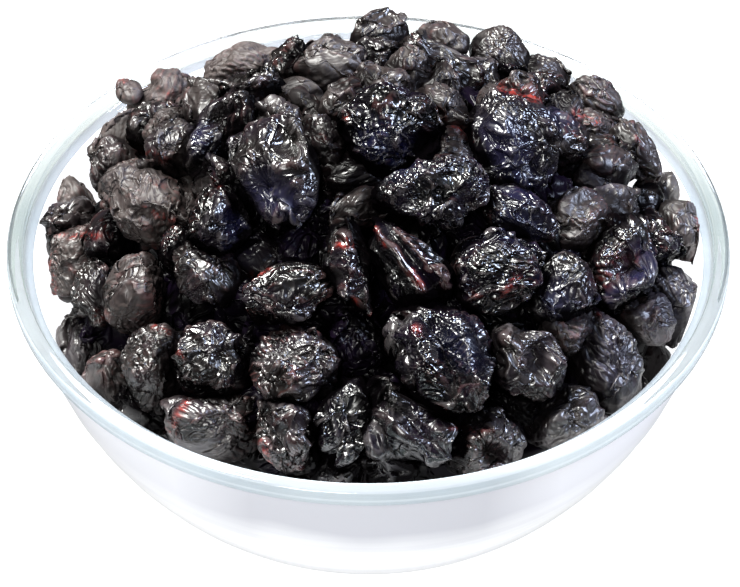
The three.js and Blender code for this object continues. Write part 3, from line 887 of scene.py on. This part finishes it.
def mesh_object(name, points, faces, materials, smooth=True):
    """A mesh object at the origin, from points in metres and triangles or quads as whole arrays."""
    mesh = bpy.data.meshes.new(name)
    mesh.vertices.add(len(points))
    mesh.vertices.foreach_set("co", points.astype(np.float32).ravel())
    mesh.loops.add(faces.size)
    mesh.loops.foreach_set("vertex_index", faces.astype(np.int32).ravel())
    mesh.polygons.add(len(faces))
    mesh.polygons.foreach_set("loop_start", (np.arange(len(faces)) * faces.shape[1]).astype(np.int32))
    mesh.update(calc_edges=True)
    if smooth:
        mesh.shade_smooth()
    for material in materials:
        mesh.materials.append(material)
    thing = bpy.data.objects.new(name, mesh)
    bpy.context.scene.collection.objects.link(thing)
    return thing


def skins_object(name, skins, material):
    """All the skins in one mesh, with their values and places as point attributes."""
    starts = np.cumsum([0] + [len(skin.points) for skin in skins])
    points = np.concatenate([skin.points for skin in skins]) * MM
    faces = np.concatenate([skin.faces + start for skin, start in zip(skins, starts)])
    thing = mesh_object(name, points, faces, [material])
    layers = [("place", "FLOAT_VECTOR", "vector", [skin.place for skin in skins])]
    for value in skins[0].values:
        layers.append((value, "FLOAT", "value", [skin.values[value] for skin in skins]))
    for layer, kind, key, parts in layers:
        values = np.concatenate(parts).astype(np.float32).ravel()
        thing.data.attributes.new(layer, kind, "POINT").data.foreach_set(key, values)
    return thing


def turned(profile, segments):
    """A profile of radius and height, carried round the upright axis: x is the radius times the cosine of
    the turn, and y is the radius times its sine. It starts and ends on the axis, where each pole is one
    point.
    """
    around = np.arange(segments)
    following = (around + 1) % segments
    angle = around * 2 * math.pi / segments
    radius, height = profile[1:-1, 0, None], profile[1:-1, 1, None]
    rings = [radius * np.cos(angle), radius * np.sin(angle), np.tile(height, (1, segments))]
    points = np.stack(rings, 2).reshape(-1, 3)
    poles = [(0, 0, profile[0, 1]), (0, 0, profile[-1, 1])]
    lower = np.arange(len(radius) - 1)[:, None] * segments
    low, next_low = lower + around, lower + following
    top = (len(radius) - 1) * segments
    bottom_pole, top_pole = np.full((2, segments), len(points)) + [[0], [1]]
    faces = [
        np.stack([low, next_low, next_low + segments], 2).reshape(-1, 3),
        np.stack([low, next_low + segments, low + segments], 2).reshape(-1, 3),
        np.stack([bottom_pole, following, around], 1),
        np.stack([top_pole, top + around, top + following], 1),
    ]
    return np.concatenate([points, poles]), np.concatenate(faces)


CUT_SHARE = 0.45  # how far along a side a corner may be cut


def rounded(corners, size, steps=6):
    """A path whose inner corners are cut by quadratic curves, each starting at most size from its corner."""
    corners = np.array(corners, float)
    path = [corners[:1]]
    share = np.linspace(0, 1, steps)[:, None]
    for before, corner, after in zip(corners, corners[1:], corners[2:]):
        start, end = (
            corner + (other - corner) * min(CUT_SHARE, size / max(math.dist(other, corner), 1e-9))
            for other in (before, after)
        )
        path.append((1 - share) ** 2 * start + 2 * share * (1 - share) * corner + share ** 2 * end)
    path.append(corners[-1:])
    return np.concatenate(path)


# Finishes

WHITE = (1, 1, 1, 1)
DIMMEST = 0.45  # the light that the milky glass gives where it is dimmed, beside the rest


class Nodes:
    """A tree of shader nodes, added and joined in few words."""

    def __init__(self, tree):
        self.tree = tree
        self.nodes = tree.nodes

    def give(self, socket, value):
        """A socket's value, or another node's output joined to it."""
        if isinstance(value, bpy.types.NodeSocket):
            self.tree.links.new(value, socket)
        else:
            socket.default_value = value

    def fill(self, made, **values):
        """A node with its sockets set by name: underscores in a name stand for spaces."""
        for name, value in values.items():
            self.give(made.inputs[name.replace("_", " ")], value)
        return made

    def node(self, kind, **values):
        return self.fill(self.nodes.new(kind), **values)


class Finish(Nodes):
    """A new material. Its patterns lie on the piece, or on the attribute that is named for them."""

    def __init__(self, name, pattern_place=None):
        self.material = bpy.data.materials.new(name)
        self.material.use_nodes = True
        super().__init__(self.material.node_tree)
        self.place = self.attribute(pattern_place, "Vector") if pattern_place else self.own_place()

    def wear(self, **values):
        """The material, once the sockets of its shader are set."""
        self.fill(self.nodes["Principled BSDF"], **values)
        return self.material

    def own_place(self):
        return self.node("ShaderNodeTexCoord").outputs["Object"]

    def axis(self, name):
        return self.node("ShaderNodeSeparateXYZ", Vector=self.place).outputs[name]

    def levels(self):
        """A place that changes only with height."""
        return self.node("ShaderNodeCombineXYZ", Z=self.axis("Z")).outputs["Vector"]

    def noise(self, scale, detail=3.0, roughness=0.5, distortion=0.0, place=None):
        """Noise with about scale features to the metre."""
        made = self.node("ShaderNodeTexNoise", Scale=scale, Detail=detail, Roughness=roughness,
                         Distortion=distortion, Vector=place or self.place)
        return made.outputs["Fac"]

    def crests(self, scale, width):
        """Narrow rounded crests along the lines where a noise crosses its middle value."""
        off = self.maths("SUBTRACT", self.noise(scale, 1, distortion=0.8), 0.5)
        return self.stretch(self.maths("ABSOLUTE", off, 0), 0.0, width, 1.0, 0.0, "SMOOTHSTEP")

    def attribute(self, name, output="Fac"):
        made = self.nodes.new("ShaderNodeAttribute")
        made.attribute_name = name
        return made.outputs[output]

    def stretch(self, value, low, high, to_low=0.0, to_high=1.0, kind="LINEAR"):
        """A value from low to high, carried to between to_low and to_high and kept there."""
        made = self.node("ShaderNodeMapRange", Value=value, From_Min=low, From_Max=high, To_Min=to_low,
                         To_Max=to_high)
        made.interpolation_type = kind
        return made.outputs["Result"]

    def maths(self, operation, first, second):
        made = self.nodes.new("ShaderNodeMath")
        made.operation = operation
        self.give(made.inputs[0], first)
        self.give(made.inputs[1], second)
        return made.outputs["Value"]

    def times(self, first, second):
        return self.maths("MULTIPLY", first, second)

    def mix(self, share, first, second):
        """Two colours mixed by a share, each a colour or another node's output."""
        made = self.nodes.new("ShaderNodeMix")
        made.data_type = "RGBA"
        self.give(made.inputs["Factor"], share)
        for socket, given in ((made.inputs[6], first), (made.inputs[7], second)):
            self.give(socket, given if isinstance(given, bpy.types.NodeSocket) else (*given, 1))
        return made.outputs[2]

    def bump(self, height, depth, strength, below=None):
        """A bump of a depth in metres, over another where one is given."""
        made = self.node("ShaderNodeBump", Height=height, Strength=strength, Distance=depth)
        if below:
            self.fill(made, Normal=below)
        return made.outputs["Normal"]


def skin_finish(colours):
    """Dried cherry skin: near black, purple in patches and red-brown on the ridges, with a painted highlight
    in pale lines along them, a painted blue sheen in places, and dusty where its bloom is left. Painted shade
    makes it darker and without gloss where it lies deep down or against another cherry.
    """
    finish = Finish("dried_cherry_skin", "place")
    ridge = finish.attribute("ridge")
    bloom = finish.attribute("bloom")
    # Painted shade: the colour darkens and the gloss goes deep down and against other cherries, less where the
    # bloom is
    shade = finish.stretch(finish.attribute("shade"), 0.0, 0.55)
    shade = finish.times(shade, finish.stretch(bloom, 0.0, 1.0, 1.0, 0.6))
    grain = finish.noise(1500, 4, 0.6, place=finish.own_place())
    colour = finish.mix(finish.stretch(finish.noise(170), 0.45, 0.7), colours.dark, colours.purple)
    # A painted reflection: the blue sheen, mixed into the colour at the marked places
    colour = finish.mix(finish.attribute("sheen"), colour, colours.blue)
    dust = finish.times(bloom, finish.stretch(grain, 0.3, 0.7, 0.4, 1.0))
    colour = finish.mix(dust, colour, colours.dusty)
    warm = finish.times(finish.attribute("warmth"), finish.stretch(finish.noise(200), 0.45, 0.6))
    warm = finish.times(finish.stretch(ridge, 0.5, 1.0, 0.0, 0.8), warm)
    colour = finish.mix(warm, colour, colours.brown)
    thin = finish.stretch(finish.noise(900, 3, 0.6), 0.4, 0.55)
    thin = finish.times(thin, finish.stretch(ridge, 0.3, 0.8, 0.15, 1.0))
    colour = finish.mix(finish.times(finish.attribute("blush"), thin), colour, colours.red)
    patch = finish.stretch(finish.noise(120, 2), 0.36, 0.52, 0.45, 1.0)
    patch = finish.times(patch, finish.attribute("wrinkled"))
    large = finish.crests(260, 0.10)
    small = finish.crests(520, 0.12)
    # A painted highlight: pale lines along the crests and the ridges
    painted_highlight = finish.times(finish.stretch(large, 0.8, 1.0), patch)
    painted_highlight = finish.maths("MAXIMUM", painted_highlight, finish.stretch(ridge, 0.85, 1.0))
    painted_highlight = finish.times(painted_highlight, finish.stretch(finish.noise(420), 0.4, 0.6, 0.05, 0.38))
    colour = finish.mix(painted_highlight, colour, colours.painted_highlight)
    lit = finish.maths("SUBTRACT", 1.0, shade)
    gloss = finish.stretch(finish.noise(300, 3, 0.55, 0.6), 0.35, 0.68, 0.15, 0.32)
    relief = finish.times(patch, finish.stretch(shade, 0.0, 1.0, 1.0, 0.15))
    folds = finish.bump(finish.times(large, relief), 0.0005, 1.0)
    crinkles = finish.bump(finish.times(small, relief), 0.00025, 1.0, folds)
    return finish.wear(
        Base_Color=finish.mix(shade, colour, colours.dark),
        Specular_IOR_Level=finish.times(lit, finish.stretch(bloom, 0.0, 1.0, 0.75, 0.45)),
        Roughness=finish.maths("ADD", gloss, finish.times(bloom, 0.38)),
        Normal=finish.bump(grain, 0.0001, 0.1, crinkles),
        IOR=1.75,
    )


def shaded_finish(colours):
    """The skin of the cherries that lie deep in the gaps, dark and dull: a painted shade, with little gloss.
    """
    finish = Finish("shaded_cherry_skin", "place")
    return finish.wear(
        Base_Color=finish.mix(finish.stretch(finish.noise(170), 0.45, 0.7), colours.dark, colours.purple),
        Normal=finish.bump(finish.crests(260, 0.09), 0.0006, 1.0),
        Roughness=0.3,
        Specular_IOR_Level=0.15,
    )


def clear_finish(colours):
    """The lip's clear glass, a little green, paler towards the back, with the mould's fine lines round it."""
    finish = Finish("clear_lip_glass")
    lines = finish.noise(1400, 2, place=finish.levels())
    uneven = finish.bump(finish.noise(120, 1), 0.0004, 0.25)
    tint = finish.mix(finish.stretch(finish.noise(60, 1), 0.3, 0.7), colours.clear, colours.clear_deep)
    tint = finish.mix(finish.stretch(lines, 0.5, 0.62, 0.0, 0.5), tint, colours.clear_pale)
    tint = finish.mix(finish.stretch(finish.axis("Y"), 0.005, 0.04, 0.0, 0.8), tint, colours.clear_pale)
    return finish.wear(
        Base_Color=tint,
        Normal=finish.bump(lines, 0.0002, 0.5, uneven),
        Roughness=0.03,
        IOR=1.5,
        Transmission_Weight=0.92,
    )


def milky_finish(name, upper, lower, height, glow, dimmed, fading):
    """The wall's milky glass, of one colour under the lip and another towards the base. It gives off painted
    light,
    a glow that no lamp gives: less in its upper front, as far out to each side as dimmed, and less by fading
    at its back.
    """
    finish = Finish(name)
    cloud = finish.times(finish.stretch(finish.noise(30, 2), 0.3, 0.7), 0.006)
    level = finish.maths("ADD", finish.axis("Z"), cloud)
    share = finish.stretch(level, 0.6 * height, 0.8 * height)
    band = finish.stretch(finish.noise(420, 2, place=finish.levels()), 0.45, 0.6, 0.0, 0.35)
    aside = finish.maths("ABSOLUTE", finish.axis("X"), 0)
    dim = finish.times(share, finish.stretch(aside, 0.6 * dimmed, dimmed, 1.0, 0.0))
    dim = finish.times(dim, finish.stretch(finish.axis("Y"), -0.03, 0.0, 1.0, 0.0))
    dim = finish.maths("MAXIMUM", dim, finish.stretch(finish.axis("Y"), -0.01, 0.03, 0.0, fading))
    return finish.wear(
        Base_Color=finish.mix(share, finish.mix(band, lower, upper), upper),
        Emission_Color=finish.mix(dim, lower, [DIMMEST * part for part in lower]),
        Emission_Strength=glow,
        Normal=finish.bump(finish.noise(90, 1), 0.0003, 0.2),
        Roughness=0.15,
        IOR=1.5,
        Specular_IOR_Level=0.2,
    )


def floor_finish(colour):
    finish = Finish("white_table")
    return finish.wear(Base_Color=(*colour, 1), Roughness=0.7, Emission_Color=WHITE, Emission_Strength=0.85)


# The sizes and colours that a user may change

def length(name, description, default):
    return bpy.props.FloatProperty(name=name, description=description, default=default, min=0, unit="LENGTH")


def lamp_power(name, description, default):
    return bpy.props.FloatProperty(name=name, description=description, default=default, min=0, unit="POWER")


def colour(name, description, default):
    return bpy.props.FloatVectorProperty(
        name=name, description=description, default=default, min=0, max=1, size=3, subtype="COLOR"
    )


class BowlSizes(bpy.types.PropertyGroup):
    rim_radius: length("Rim radius", "From the bowl's axis to the outside of its lip", 0.060)
    height: length("Height", "From the table to the top of the lip", 0.052)
    lip_height: length("Lip height", "Height of the thick clear lip", 0.0032)
    lip_thickness: length("Lip thickness", "From the lip's inside to its outside", 0.0026)
    wall: length("Wall", "Thickness of the wall", 0.0022)
    floor: length("Floor", "Thickness of the glass under the cherries", 0.0044)
    foot_radius: length("Foot radius", "Outer radius of the foot ring", 0.027)
    foot_width: length("Foot width", "Width of the foot ring", 0.0045)


class BowlColours(bpy.types.PropertyGroup):
    clear: colour("Clear glass", "The lip where it is thin", (0.43, 0.50, 0.49))
    clear_deep: colour("Deep clear glass", "The lip where it is thick", (0.33, 0.40, 0.41))
    clear_pale: colour("Pale clear glass", "Lines in the lip, and its back", (0.90, 0.94, 0.92))
    milky: colour("Milky glass", "The wall under the lip", (0.52, 0.53, 0.59))
    milky_base: colour("Milky base", "The wall near the thick base", (0.84, 0.85, 0.86))
    milky_inside: colour("Milky inside", "The wall behind the cherries", (0.90, 0.91, 0.93))


class CherryColours(bpy.types.PropertyGroup):
    dark: colour("Dark skin", "Most of each cherry", (0.0012, 0.0009, 0.0012))
    purple: colour("Purple skin", "Patches of each cherry", (0.0080, 0.0042, 0.0125))
    brown: colour("Ridges", "Along the ridges of the warmer cherries", (0.115, 0.030, 0.027))
    dusty: colour("Bloom", "Where the skin is dull", (0.105, 0.079, 0.074))
    # Painted highlight: pale lines along the ridges
    painted_highlight: colour("Worn ridges", "Thin lines along the ridges", (0.19, 0.168, 0.172))
    # Painted reflection: a blue sheen on smooth places
    blue: colour("Blue skin", "Smooth places with a blue sheen", (0.009, 0.010, 0.042))
    red: colour("Red edges", "Where the flesh shows red through a thin skin", (0.40, 0.034, 0.022))


class StageLook(bpy.types.PropertyGroup):
    floor: colour("Table", "The white table, lit from below", (0.25, 0.25, 0.25))
    sky: bpy.props.FloatProperty(name="Sky", description="Light from all round", default=0.02, min=0)
    key: lamp_power("Key light", "The large lamp's power", 19.0)
    side: lamp_power("Side light", "The small lamp's power", 6.0)
    front: lamp_power("Front light", "The front lamp's power", 3.8)


GROUPS = {
    "bowl_sizes": BowlSizes,
    "bowl_colours": BowlColours,
    "cherry_colours": CherryColours,
    "stage_look": StageLook,
}


# The pieces

def finish_piece(thing, node):
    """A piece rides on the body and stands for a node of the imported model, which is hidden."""
    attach(thing, "root")
    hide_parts(node)


def cherries_piece(name, skins, material, node="cherries_heaped"):
    finish_piece(skins_object(name, skins, material), node)


def placed(glass):
    """Every cherry, in the order of the draws: seen, the rest of the dome, against the wall, and below."""
    draws = Draws(SEED)
    seen = seen_cherries(draws, glass.height)
    unseen = dome_cherries(draws, seen, glass.height)
    packed = wall_cherries(draws, glass)
    below = under_cherries(draws, glass.height)
    return seen, unseen, packed, below


FOOT_ROUND, LIP_ROUND, FLOOR_ROUND = 0.5, 1.0, 0.4
UNDER_LIP, INTO_LIP = 0.4, 0.6  # the wall's outside ends this far under the lip, its inside so far up it
LIP_SHOULDER, LIP_BEVEL, LIP_SLOPE = 0.5, 0.7, 1.4
LIP_OVERLAP = 0.2  # the clear glass starts this far under the lip
FOOT_HEIGHT = 1.2
FOOT_HOLLOW = 0.8  # from the table up to the middle of the base
WALL_STEPS = 26
WALL_GATHERED = 1.4  # above 1, the rings of points lie closer together towards the foot
BOWL_SEGMENTS = 384
# Faint rings that the mould leaves round the wall: their heights, and how far they stand out and reach up
# and down
RINGS = (19.0, 23.5, 28.0, 33.0)
RING_RELIEF = 0.12
RING_REACH = 0.9


def bowl_profile(glass, foot_width):
    """From the foot's middle out, up the outside, over the lip and down the inside to the floor's middle.

    Each side of the wall is a quarter of an ellipse, and the mould's rings are bell curves on the outside.
    """
    lip_bottom = glass.height - glass.lip_height
    inner_lip = glass.rim_radius - glass.lip_thickness
    share = np.linspace(0, 1, WALL_STEPS) ** WALL_GATHERED
    outer = FOOT_HEIGHT + (lip_bottom - UNDER_LIP - FOOT_HEIGHT) * share
    relief = sum(RING_RELIEF * bell((outer - ring) / RING_REACH) for ring in RINGS)
    outside = np.stack([glass.radius(outer, 0) + relief, outer], 1)
    inner = glass.floor + (lip_bottom + INTO_LIP - glass.floor) * share
    inside = np.stack([glass.radius(inner, glass.wall), inner], 1)[::-1]
    foot_inside = glass.foot_radius - foot_width
    foot = rounded([
        (0, FOOT_HOLLOW), (foot_inside - 1, FOOT_HOLLOW), (foot_inside, 0), (glass.foot_radius, 0), outside[0],
    ], FOOT_ROUND)
    lip = rounded([
        outside[-1],
        (glass.rim_radius - LIP_SHOULDER, lip_bottom),
        (glass.rim_radius, lip_bottom + LIP_BEVEL),
        (glass.rim_radius, glass.height),
        (inner_lip, glass.height),
        (inner_lip, lip_bottom + LIP_SLOPE),
        inside[0],
    ], LIP_ROUND)
    floor = rounded([inside[-1], (inside[-1][0] - 0.5, glass.floor), (0, glass.floor)], FLOOR_ROUND)
    return np.concatenate([foot[:-1], outside[:-1], lip[:-1], inside[:-1], floor])


class CHERRY_OT_glass_bowl(bpy.types.Operator):
    """Make the glass bowl, milky in its wall and clear in its lip"""
    bl_idname = "cherry.glass_bowl"
    bl_label = "Glass bowl"

    def execute(self, context):
        sizes = context.scene.bowl_sizes
        glass = Glass(sizes)
        points, faces = turned(bowl_profile(glass, sizes.foot_width / MM), BOWL_SEGMENTS)
        colours = context.scene.bowl_colours
        height = sizes.height
        # Both sides of the wall glow with painted light; the inside strongly, so that it shows white behind
        # the cherries
        outer = milky_finish("milky_wall_glass", colours.milky, colours.milky_base, height, 0.55, 0.030, 1.0)
        lip = clear_finish(colours)
        white = colours.milky_inside
        inner = milky_finish("milky_inner_glass", white, white, height, 1.2, 0.1, 0.0)
        bowl = mesh_object("pressed_glass_bowl", points * MM, faces, [outer, lip, inner])
        middles = points[faces].mean(1)
        in_lip = points[faces][..., 2].min(1) > glass.height - glass.lip_height - LIP_OVERLAP
        inside = np.hypot(middles[:, 0], middles[:, 1]) < glass.radius(middles[:, 2], glass.wall / 2)
        inside &= middles[:, 2] > glass.floor / 2
        numbers = np.where(in_lip, 1, np.where(inside, 2, 0)).astype(np.int32)
        bowl.data.polygons.foreach_set("material_index", numbers)
        finish_piece(bowl, "glass_bowl")
        return {"FINISHED"}


LARGE_FROM = 6.6  # the mean half-width of a large cherry
DEEP = -4.0  # a cherry with this lift or less lies in a gap and shows dark, with the painted shade of the shaded skin
# Into how many parts the edges of the icosahedron are cut, for each kind of cherry
LARGE_CUTS = 12
SMALL_CUTS = 9
UNSEEN_CUTS = 6
BELOW_CUTS = 8
PACKED_CUTS = 8
SEEN_PIECES = ("front", "middle", "upper", "back")


class CHERRY_OT_heaped(bpy.types.Operator):
    """Make the cherries heaped above the rim, and those that show in the gaps between them"""
    bl_idname = "cherry.heaped"
    bl_label = "Heaped cherries"

    def execute(self, context):
        glass = Glass(context.scene.bowl_sizes)
        seen, unseen, _, below = placed(glass)
        colours = context.scene.cherry_colours
        finish = skin_finish(colours)
        crowd = seen + unseen

        def dried(cherries, cuts, fine, seed, others=crowd):
            return dry(cherries, others, glass, cuts, fine, seed, CAD_BOX[1].z / MM)

        shown = [cherry for cherry in seen if cherry.lift > DEEP]
        deep = [cherry for cherry in seen if cherry.lift <= DEEP]
        large = [cherry for cherry in shown if cherry.radius >= LARGE_FROM]
        small = [cherry for cherry in shown if cherry.radius < LARGE_FROM]
        skins = dried(large, LARGE_CUTS, True, seed=1) + dried(small, SMALL_CUTS, True, seed=6)
        skins.sort(key=lambda skin: skin.points[:, 1].mean())
        share = math.ceil(len(skins) / len(SEEN_PIECES))
        for k, name in enumerate(SEEN_PIECES):
            cherries_piece(f"heaped_cherries_{name}", skins[k * share:(k + 1) * share], finish)
        cherries_piece("heaped_cherries_behind", dried(unseen, UNSEEN_CUTS, True, seed=2), finish)
        lower = dried(deep, UNSEEN_CUTS, True, seed=7) + dried(below, BELOW_CUTS, False, seed=3, others=[])
        lower.append(core(glass))
        cherries_piece("heaped_cherries_below", lower, shaded_finish(colours))
        return {"FINISHED"}


CORE_FOOT = 40.0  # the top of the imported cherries, from which the heap's dark middle rises
CORE_RADIUS = 49.0
CORE_RINGS = 40
CORE_SEGMENTS = 96
CORE_HILLS = 1.2


def core(glass):
    """The dark middle of the heap: a dome under the second layer, with hills of a millimetre or two on it."""
    radius = CORE_RADIUS * np.linspace(1, 0, CORE_RINGS)
    height = dome_height(radius, 0, glass.height) - CORE_SINK
    wall = np.array([(0, CORE_FOOT), (CORE_RADIUS, CORE_FOOT)])
    dome = np.stack([radius, np.maximum(height, CORE_FOOT + 0.5)], 1)
    points, faces = turned(np.concatenate([wall, dome]), CORE_SEGMENTS)
    hills = CORE_HILLS * waves(points, np.random.default_rng(4), 16, 0.5) - lean(points[:, 0], points[:, 1])
    raised = points[:, 2] > CORE_FOOT
    points[raised, 2] = np.maximum(points[raised, 2] + hills[raised], CORE_FOOT + 0.2)
    ridge = np.zeros(len(points))
    return Skin(points, faces, points * MM, ridge, shade(points, glass.height), (1.0, 0.0, 0.0))


class CHERRY_OT_packed(bpy.types.Operator):
    """Make the cherries packed in the bowl, against its wall"""
    bl_idname = "cherry.packed"
    bl_label = "Packed cherries"

    def execute(self, context):
        glass = Glass(context.scene.bowl_sizes)
        packed = placed(glass)[2]
        skins = dry(packed, packed, glass, PACKED_CUTS, False, 5, CORE_FOOT)
        finish = skin_finish(context.scene.cherry_colours)
        cherries_piece("packed_cherries", skins, finish, "cherries_in_bowl")
        return {"FINISHED"}


# The lamps: the setting that holds each one's power, its place, its width and its tint
LAMPS = (
    ("key", (-0.30, 0.25, 0.90), 0.26, (1.0, 1.0, 0.96)),
    ("side", (0.62, 0.05, 0.62), 0.22, (0.66, 0.76, 1.0)),
    ("front", (-0.20, -0.70, 0.75), 0.30, (1.0, 1.0, 0.97)),
)
LAMP_AIM = Vector((0, 0, 0.05))
SKY_TINT = (0.92, 0.95, 1.0, 1)


def softbox(name, place, size, power, tint):
    """A square lamp at a place, turned towards the heap."""
    lamp = bpy.data.lights.new(name, "AREA")
    lamp.size = size
    lamp.energy = power
    lamp.color = tint
    thing = bpy.data.objects.new(name, lamp)
    thing.location = place
    thing.rotation_euler = (LAMP_AIM - Vector(place)).to_track_quat("-Z", "Y").to_euler()
    bpy.context.scene.collection.objects.link(thing)


FLOOR_SIDE = 3.0
FLOOR_DROP = 0.0001


class CHERRY_OT_stage(bpy.types.Operator):
    """Set up the white table, the studio lamps and the camera"""
    bl_idname = "cherry.stage"
    bl_label = "Stage"

    def execute(self, context):
        scene = context.scene
        look = scene.stage_look
        side = FLOOR_SIDE / 2
        corners = np.array([(-side, -side), (side, -side), (side, side), (-side, side)])
        points = np.column_stack([corners, np.full(4, -FLOOR_DROP)])
        finish = floor_finish(look.floor)
        table = mesh_object("table", points, np.array([(0, 1, 2, 3)]), [finish], smooth=False)
        table.visible_glossy = False
        scene.world = bpy.data.worlds.new("studio")
        scene.world.use_nodes = True
        world = Nodes(scene.world.node_tree)
        sky = world.fill(world.nodes["Background"], Color=SKY_TINT, Strength=look.sky)
        seen_sky = world.node("ShaderNodeBackground", Color=WHITE)
        seen = world.node("ShaderNodeLightPath").outputs["Is Camera Ray"]
        either = world.node("ShaderNodeMixShader", Fac=seen)
        world.give(either.inputs[1], sky.outputs["Background"])
        world.give(either.inputs[2], seen_sky.outputs["Background"])
        world.fill(world.nodes["World Output"], Surface=either.outputs["Shader"])
        for name, place, size, tint in LAMPS:
            softbox(f"{name}_lamp", place, size, getattr(look, name), tint)
        camera = bpy.data.cameras.new("camera")
        camera.sensor_width = SENSOR_WIDTH
        camera.lens = FOCAL_PIXELS / FRAME_WIDTH * SENSOR_WIDTH
        camera.clip_start = 0.01
        eye = bpy.data.objects.new("camera", camera)
        eye.location = EYE * MM
        eye.rotation_euler = Vector(-TO_EYE).to_track_quat("-Z", "Y").to_euler()
        scene.collection.objects.link(eye)
        scene.camera = eye
        scene.view_settings.view_transform = "Standard"
        return {"FINISHED"}


STEPS = (CHERRY_OT_stage, CHERRY_OT_glass_bowl, CHERRY_OT_packed, CHERRY_OT_heaped)


class CHERRY_PT_panel(bpy.types.Panel):
    """The bowl's pieces, with their sizes and colours"""
    bl_idname = "CHERRY_PT_panel"
    bl_label = "Bowl of dried sour cherries"
    bl_space_type = "VIEW_3D"
    bl_region_type = "UI"
    bl_category = "Cherry bowl"

    def draw(self, context):
        for step in STEPS:
            self.layout.operator(step.bl_idname)
        for name, group in GROUPS.items():
            box = self.layout.box()
            for setting in group.__annotations__:
                box.prop(getattr(context.scene, name), setting)


CLASSES = (*GROUPS.values(), *STEPS, CHERRY_PT_panel)


def register():
    for each in CLASSES:
        bpy.utils.register_class(each)
    for name, group in GROUPS.items():
        setattr(bpy.types.Scene, name, bpy.props.PointerProperty(type=group))


def unregister():
    for name in GROUPS:
        delattr(bpy.types.Scene, name)
    for each in reversed(CLASSES):
        bpy.utils.unregister_class(each)


def main():
    register()
    bpy.ops.cherry.stage()
    bpy.ops.cherry.glass_bowl()
    bpy.ops.cherry.packed()
    bpy.ops.cherry.heaped()


if __name__ == "__main__":
    main()
